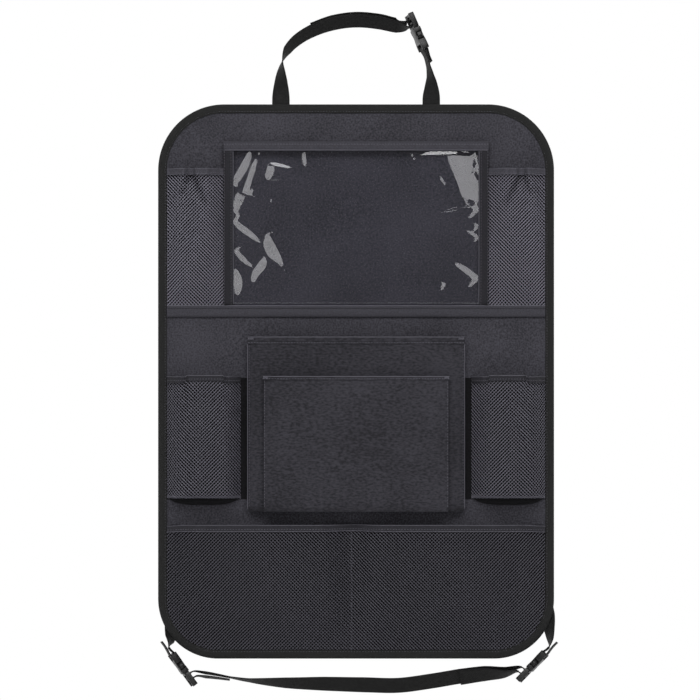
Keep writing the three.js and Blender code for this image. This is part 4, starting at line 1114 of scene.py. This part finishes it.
# %% The lower strap and its two sewn tails
lower_run = stations(
    (-171, STRAP_Y, -331.4, 0.04, -0.97, 0.25), (-158, STRAP_Y, -333.6, 0.02, -0.97, 0.22),
    (-143, STRAP_Y, -336.5, 0.02, -0.98, 0.18), (-122, STRAP_Y, -339.8, 0.02, -0.95, 0.3),
    (-81, STRAP_Y, -342.7, 0.02, -0.74, 0.67), (-36, STRAP_Y, -343.8, 0, -0.53, 0.85),
    (10, STRAP_Y, -345, 0, -0.42, 0.91), (48, STRAP_Y, -345.6, -0.05, -0.43, 0.9),
    (84, STRAP_Y, -341, -0.12, -0.43, 0.89), (118, STRAP_Y, -335.3, -0.1, -0.44, 0.89),
    (146, STRAP_Y, -331, -0.08, -0.6, 0.8), (168, STRAP_Y, -329, -0.06, -0.85, 0.5))
left_end = layer_on(lower_run[:3], TAIL_AT_BUCKLE, TAIL)[::-1]
right_end = layer_on(lower_run[9:], TAIL, TAIL_AT_BUCKLE)[::-1]
lower_strap = webbing("lower_strap_webbing", (
    left_end + plug_loop(left_buckle)[::-1] + lower_run + plug_loop(right_buckle, -1) + right_end))
left_tail = sewn(-205, -205, -245) + stations(
    (-205.5, BACK_Y + 1, -264, 1, 0, 0), (-208.4, 5.2, -280, 0.97, 0.24, 0), (-211.2, 4.6, -289, 0.6, 0.8, 0),
    (-211.8, 1.6, -297, 0.22, 0.97, 0))
lower_tail_left = webbing("lower_tail_webbing_left", left_tail + socket_loop(left_buckle, 18, -1))
right_tail = sewn(212, -195, -235) + stations(
    (213, BACK_Y + 1, -250, 1, 0, 0), (216.6, 4.2, -265, 0.95, -0.31, 0), (219.6, 3.2, -280, 0.6, -0.8, 0),
    (220.6, 1.4, -293, 0.3, -0.95, 0))
lower_tail_right = webbing("lower_tail_webbing_right", right_tail + socket_loop(right_buckle, 18, -1))

# %% [markdown]
# ## Buckles
# The CAD buckles have the right shape, but a moulded edge is never knife sharp. Each half is copied, merged
# and given a small bevel, so that its edges catch the light.

# %% Soften the buckles' moulded edges
BUCKLE_PLACES = ("top", "bottom_left", "bottom_right")
BUCKLES = [f"{at}_buckle_{half}" for at in BUCKLE_PLACES for half in ("socket", "plug")]
EDGE_RADIUS = 0.35
buckle_pieces = []
for node in BUCKLES:
    copy = bmesh.new()
    copy.from_mesh(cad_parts[node].data)
    bmesh.ops.remove_doubles(copy, verts=copy.verts, dist=0.00002)
    bmesh.ops.dissolve_limit(copy, angle_limit=math.radians(1.5), verts=copy.verts, edges=copy.edges)
    mesh = bpy.data.meshes.new(f"{node}_moulding")
    copy.to_mesh(mesh)
    copy.free()
    piece = add_object(mesh.name, mesh)
    bevel = piece.modifiers.new("edge", "BEVEL")
    bevel.width, bevel.segments, bevel.use_clamp_overlap = EDGE_RADIUS * MM, 2, True
    bevel.limit_method, bevel.angle_limit = "ANGLE", math.radians(28)
    bake(piece)
    piece.data.materials.clear()
    piece.data.materials.append(buckle_finish)
    piece.data.shade_smooth()
    piece.data.set_sharp_from_angle(angle=math.radians(40))
    buckle_pieces.append(piece)

# %% [markdown]
# ## Stitches
# Every seam is sewn with a lock stitch: short lengths of thread with a gap between them. A node tree walks
# along a bare line and sets one small stitch at every step, turned along the line.

# %% The stitch tree
stitch_tree, given, bare = geometry_tree("lock_stitches", {
    "Stitch length": FLOAT, "Thread thickness": FLOAT, "Pitch": FLOAT})
marks = add_node(stitch_tree, "GeometryNodeCurveToPoints", {
    "Curve": bare, "Length": given["Pitch"]}, mode="LENGTH")
bead = add_node(stitch_tree, "GeometryNodeMeshIcoSphere", {"Radius": 0.5, "Subdivisions": 1})
thickness = given["Thread thickness"]
size = add_node(stitch_tree, "ShaderNodeCombineXYZ", {
    "X": thickness, "Y": thickness, "Z": given["Stitch length"]})
sewn_beads = add_node(stitch_tree, "GeometryNodeInstanceOnPoints", {
    "Points": marks.outputs["Points"], "Instance": bead.outputs["Mesh"], "Rotation": marks.outputs["Rotation"],
    "Scale": size.outputs[0]})
finish_tree(stitch_tree, given, sewn_beads.outputs[0])


def stitches(name, lines, pitch=3.2, length=2.4, thickness=0.55):
    return grow(name, lines, stitch_tree, {
        "Stitch length": length * MM, "Thread thickness": thickness * MM, "Pitch": pitch * MM,
        "Finish": sewing_and_highlight_thread})


# %% Where the seams run
def level_line(count, half, y, z):
    return [(x, y, z) for x in spread(-half, half, count)]


def upright_line(count, x, y, low, high):
    return [(x, y, z) for z in spread(low, high, count)]


def binding_line(y):
    line = [(x - out[0] * BINDING_SEAM, y, z - out[1] * BINDING_SEAM) for x, z, out, _ in edge_stations()]
    return line + line[:1]


def tape_line(x, top, off):
    return [(x, -(film_off(z) + off), z) for z in spread(88, top, 60)]


def mouth_line(count, lo, hi, mouth, off, down, lean=level):
    """A line along a hem: off in front of its net, and down from its top."""
    bulge, top, drop = mouth
    places = spread(lo, hi, count)
    return [(x, -(CLOTH_BASE + bulge(x) + off + lean(x)), top - down - drop(x)) for x in places]


seams = [binding_line(-4.65), binding_line(BACK_FACE), level_line(120, 214, -6.6, BACK_SEAM_HIGH)]
seams += [tape_line(side * x, 260, 2.1) for side in SIDES for x in (141.6, 149.2)]
seams += [level_line(80, 149, -14.5, 268.9), level_line(80, 149, -14.7, 263.4)]
for side in SIDES:
    seams.append(mouth_line(30, side * 151, side * 214, UPPER_MOUTH, 3.4, HEM_SEAM))
    seams.append(mouth_line(
        40, side * 132, side * 214, LOWER_MOUTH, 2.4, HEM_SEAM, lambda x: lerp(1.1, 0.55, tab_share(x, 0.65))))
    seams.append(upright_line(20, side * 131.8, -5.9, -132, 4))
seams.append(mouth_line(100, -213, 213, BOTTOM_MOUTH, 3.1, HEM_SEAM))
seams.append([(x, y - bottom_bulge(x, z), z) for x, y, z in upright_line(60, SEAM_X, -5.4, -303, -171)])
seams += [level_line(60, 121, -24.0, DOCUMENT.top - 7.1), level_line(60, 104, -35.2, FRONT.top - 3.1)]
for side in SIDES:
    seams.append([on_front_pocket(side * 103.2, z) for z in spread(-140, 0, 40)])
    seams.append([on_document(side * 121.0, z) for z in spread(-140, 40, 50)])
seam_stitches = stitches("seam_stitches", seams)


# %% Pale strands on the edges and folds: painted highlights where those edges catch the light
def pocket_fold(pocket):
    reach = pocket.half - 1
    return [(x, mouth_face(pocket, x, -1) - 2.35, pocket.top - 0.75) for x in spread(-reach, reach, 90)]


highlight_lines = [pocket_fold(DOCUMENT), pocket_fold(FRONT)]
for side in SIDES:
    highlight_lines.append([on_document(side * 122.7, z) for z in spread(-144, 49, 60)])
    highlight_lines.append(tape_line(side * 139.3, 261, 1.9))
    upper_ends, lower_ends = (side * UPPER_INNER, side * INNER_X), (side * LOWER_INNER, side * INNER_X)
    highlight_lines.append(mouth_line(90, *upper_ends, UPPER_MOUTH, 1.7, 0.5))
    highlight_lines.append(mouth_line(90, *upper_ends, UPPER_MOUTH, 3.9, 7.0))
    highlight_lines.append(mouth_line(90, *lower_ends, LOWER_MOUTH, 3.2, 0.9))
highlight_lines.append(mouth_line(90, -INNER_X, INNER_X, BOTTOM_MOUTH, 2.0, 0.5))
highlight_lines.append(mouth_line(90, -INNER_X, INNER_X, BOTTOM_MOUTH, 2.6, 7.2))
highlight_lines += [level_line(60, 149, -15.2, 262.2), level_line(60, INNER_X, -6.9, 86.1)]
HIGHLIGHT_THREAD_RADIUS = 0.38
# These pale strands paint the highlights of the folds and tape edges; they share the sewing thread's pale
# material
edge_highlight_threads = grow("edge_highlight_threads", highlight_lines, strand_tree, {
    "Strand radius": HIGHLIGHT_THREAD_RADIUS * MM, "Strand sides": 5, "Finish": sewing_and_highlight_thread})

# %% Seams on the back, box stitches on the straps and bar tacks at the pockets' corners
back_seams = [level_line(100, 213, BACK_FACE, BACK_SEAM_HIGH), level_line(60, 118, BACK_FACE, BACK_SEAM_LOW)]
back_seams += [upright_line(60, side * BACK_SEAM_X, BACK_FACE, -147, 82) for side in SIDES]
strap_boxes = []
for x, low, high in ((-85.5, 279, 303), (85.5, 279, 303), (-205, -241, -209), (212, -231, -199)):
    y = BACK_Y + 0.75
    a, b, c, d = (x - 7, y, low), (x + 7, y, low), (x + 7, y, high), (x - 7, y, high)
    strap_boxes += [[a, b, c, d, a], [a, c], [b, d]]
back_stitches = stitches("back_stitches", back_seams + strap_boxes, 3.0, 2.3)


def bar_tack(x, y, z, width=6.0, tall=2.0):
    return [(x - width / 2 + width * i / 12, y, z + (tall / 2 if i % 2 else -tall / 2)) for i in range(13)]


tacks = [bar_tack(side * 119, -24.3, 48.6) for side in SIDES]
tacks += [bar_tack(side * 102, -35.3, 4.6, 5.0) for side in SIDES]
tacks += [bar_tack(side * 134.5, -8.6, 4.0, 5.0) for side in SIDES] + [bar_tack(SEAM_X, -8.2, -166.5, 4.0, 4.0)]
tack_stitches = stitches("bar_tacks", tacks, 0.9, 1.2, 0.5)

# %% [markdown]
# ## Hand the pieces to the frame
# Most pieces stand for a CAD solid. Each rides on the only body.

# %% Pieces, the solids they stand for and their slots
POCKETS = ("upper_left", "upper_right", "lower_left", "lower_right", "bottom")
dressed = [
    ("panel_cloth", [panel], ["back_panel"]),
    ("binding_tape", [binding, divider], ["edge_binding", "divider_band"]),
    ("clear_film", [film], ["tablet_window"]),
    ("binding_tape", [left_tape, right_tape, top_tape],
     [f"window_tape_{at}" for at in ("left", "right", "top")]),
    ("net", [upper_left, upper_right, lower_left, lower_right, bottom_net], [f"{at}_mesh" for at in POCKETS]),
    ("hem_tape", [upper_left_hem, upper_right_hem, lower_left_hem, lower_right_hem, bottom_hem],
     [f"{at}_hem" for at in POCKETS]),
    ("pocket_cloth", [document_pocket, front_pocket, document_hem, front_hem],
     ["document_pocket", "front_pocket"]),
    ("webbing", [upper_strap_left, upper_strap_right, lower_strap, lower_tail_left, lower_tail_right],
     ["top_strap_left", "top_strap_right", "bottom_strap", "bottom_left_tail", "bottom_right_tail"]),
    ("binding_tape", [seam_stitches], []),
    ("pocket_cloth", [lower_left_foot_shadow, lower_right_foot_shadow], []),
    ("binding_tape", [back_stitches, tack_stitches, edge_highlight_threads], []),
    ("buckle_plastic", buckle_pieces, BUCKLES),
]
for slot, pieces, nodes in dressed:
    for piece, node in zip_longest(pieces, nodes):
        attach(piece, "root")
        if node:
            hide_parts(node)
print("pieces:", sum(len(pieces) for _, pieces, _ in dressed))

# %% [markdown]
# ## Light, floor and camera
# The photograph is lit softly from the front and a little from above. Two tall lamps at the sides give the
# film its bright patches. The camera is far away with a long lens, so that nothing widens towards the edges.

# %% Lamps
LAMPS = [
    # name, place, height of the point it looks at, width, height, watts
    ("overhead_softbox", (0.0, -1.9, 1.5), 0.1, 2.2, 1.0, 47),
    ("left_softbox", (-0.65, -3.0, 0.05), 0.05, 0.55, 1.9, 11.5),
    ("right_softbox", (0.65, -3.0, 0.05), 0.05, 0.55, 1.9, 11.5),
    ("left_side_fill", (-2.2, 0.2, 0.9), 0.0, 1.0, 1.0, 5),
    ("right_side_fill", (2.2, 0.2, 0.9), 0.0, 1.0, 1.0, 5),
    ("back_fill", (0.0, 2.4, 1.4), 0.0, 2.0, 1.2, 45),
]
for name, place, aim, width, height, power in LAMPS:
    data = bpy.data.lights.new(name, "AREA")
    data.shape, data.size, data.size_y, data.energy = "RECTANGLE", width, height, power
    light = add_object(name, data)
    light.location = place
    light.rotation_euler = (Vector((0, 0, aim)) - Vector(place)).to_track_quat("-Z", "Y").to_euler()

# %% World: an even grey room, with a white background for the eye
world = bpy.data.worlds.new("studio")
bpy.context.scene.world = world
world.use_nodes = True
room = world.node_tree
background = room.nodes["Background"]
background.inputs["Color"].default_value = WHITE
background.inputs["Strength"].default_value = 0.1
white = add_node(room, "ShaderNodeBackground", {"Color": WHITE, "Strength": 1.0})
path = add_node(room, "ShaderNodeLightPath").outputs
way = add_node(room, "ShaderNodeSeparateXYZ", {0: add_node(room, "ShaderNodeTexCoord").outputs["Generated"]})
behind = add_node(room, "ShaderNodeMapRange", {"Value": way.outputs["Y"], "From Min": 0.1, "From Max": 0.4})
bent = calculate(room, "MAXIMUM", path["Is Glossy Ray"], path["Is Transmission Ray"])
shine = calculate(room, "MULTIPLY", bent, behind.outputs[0])
mix_surfaces(room, calculate(room, "MAXIMUM", path["Is Camera Ray"], shine), background, white, "World Output")

# %% Pale floor that fades into the white background
FLOOR_LEVEL, FLOOR_RADIUS = -0.6, 1.6
FADE_START, FADE_END = 0.9, 1.55
floor_paint, floor_tree, floor_shader = start_material("pale_floor", (0.9, 0.9, 0.9, 1.0), 0.9, 0.0, 0.1)
reach = add_node(floor_tree, "ShaderNodeVectorMath", {0: object_place(floor_tree)}, operation="LENGTH")
fade = add_node(floor_tree, "ShaderNodeMapRange", {
    "Value": reach.outputs["Value"], "From Min": FADE_START, "From Max": FADE_END,
}, interpolation_type="SMOOTHSTEP")
glow = add_node(floor_tree, "ShaderNodeEmission", {"Color": WHITE, "Strength": 1.0})
mix_surfaces(floor_tree, fade.outputs[0], floor_shader, glow)
disc = bmesh.new()
bmesh.ops.create_circle(disc, cap_ends=True, segments=96, radius=FLOOR_RADIUS)
floor_mesh = bpy.data.meshes.new("floor")
disc.to_mesh(floor_mesh)
disc.free()
floor_mesh.transform(Matrix.Translation((0, 0, FLOOR_LEVEL)))
floor_mesh.materials.append(floor_paint)
floor = add_object("floor", floor_mesh)

# %% Camera at the photograph's angle
DISTANCE, FIELD = 3.4, 0.7937
PHOTO_CENTRE = (-0.0069, 0.0358)
camera_data = bpy.data.cameras.new("photo_camera")
camera_data.sensor_width = 36
camera_data.lens = 36 * DISTANCE / FIELD
camera = add_object("photo_camera", camera_data)
camera.location = (PHOTO_CENTRE[0], -0.01 - DISTANCE, PHOTO_CENTRE[1])
camera.rotation_euler = (math.pi / 2, 0, 0)
bpy.context.scene.camera = camera
bpy.context.scene.view_settings.view_transform = "Standard"
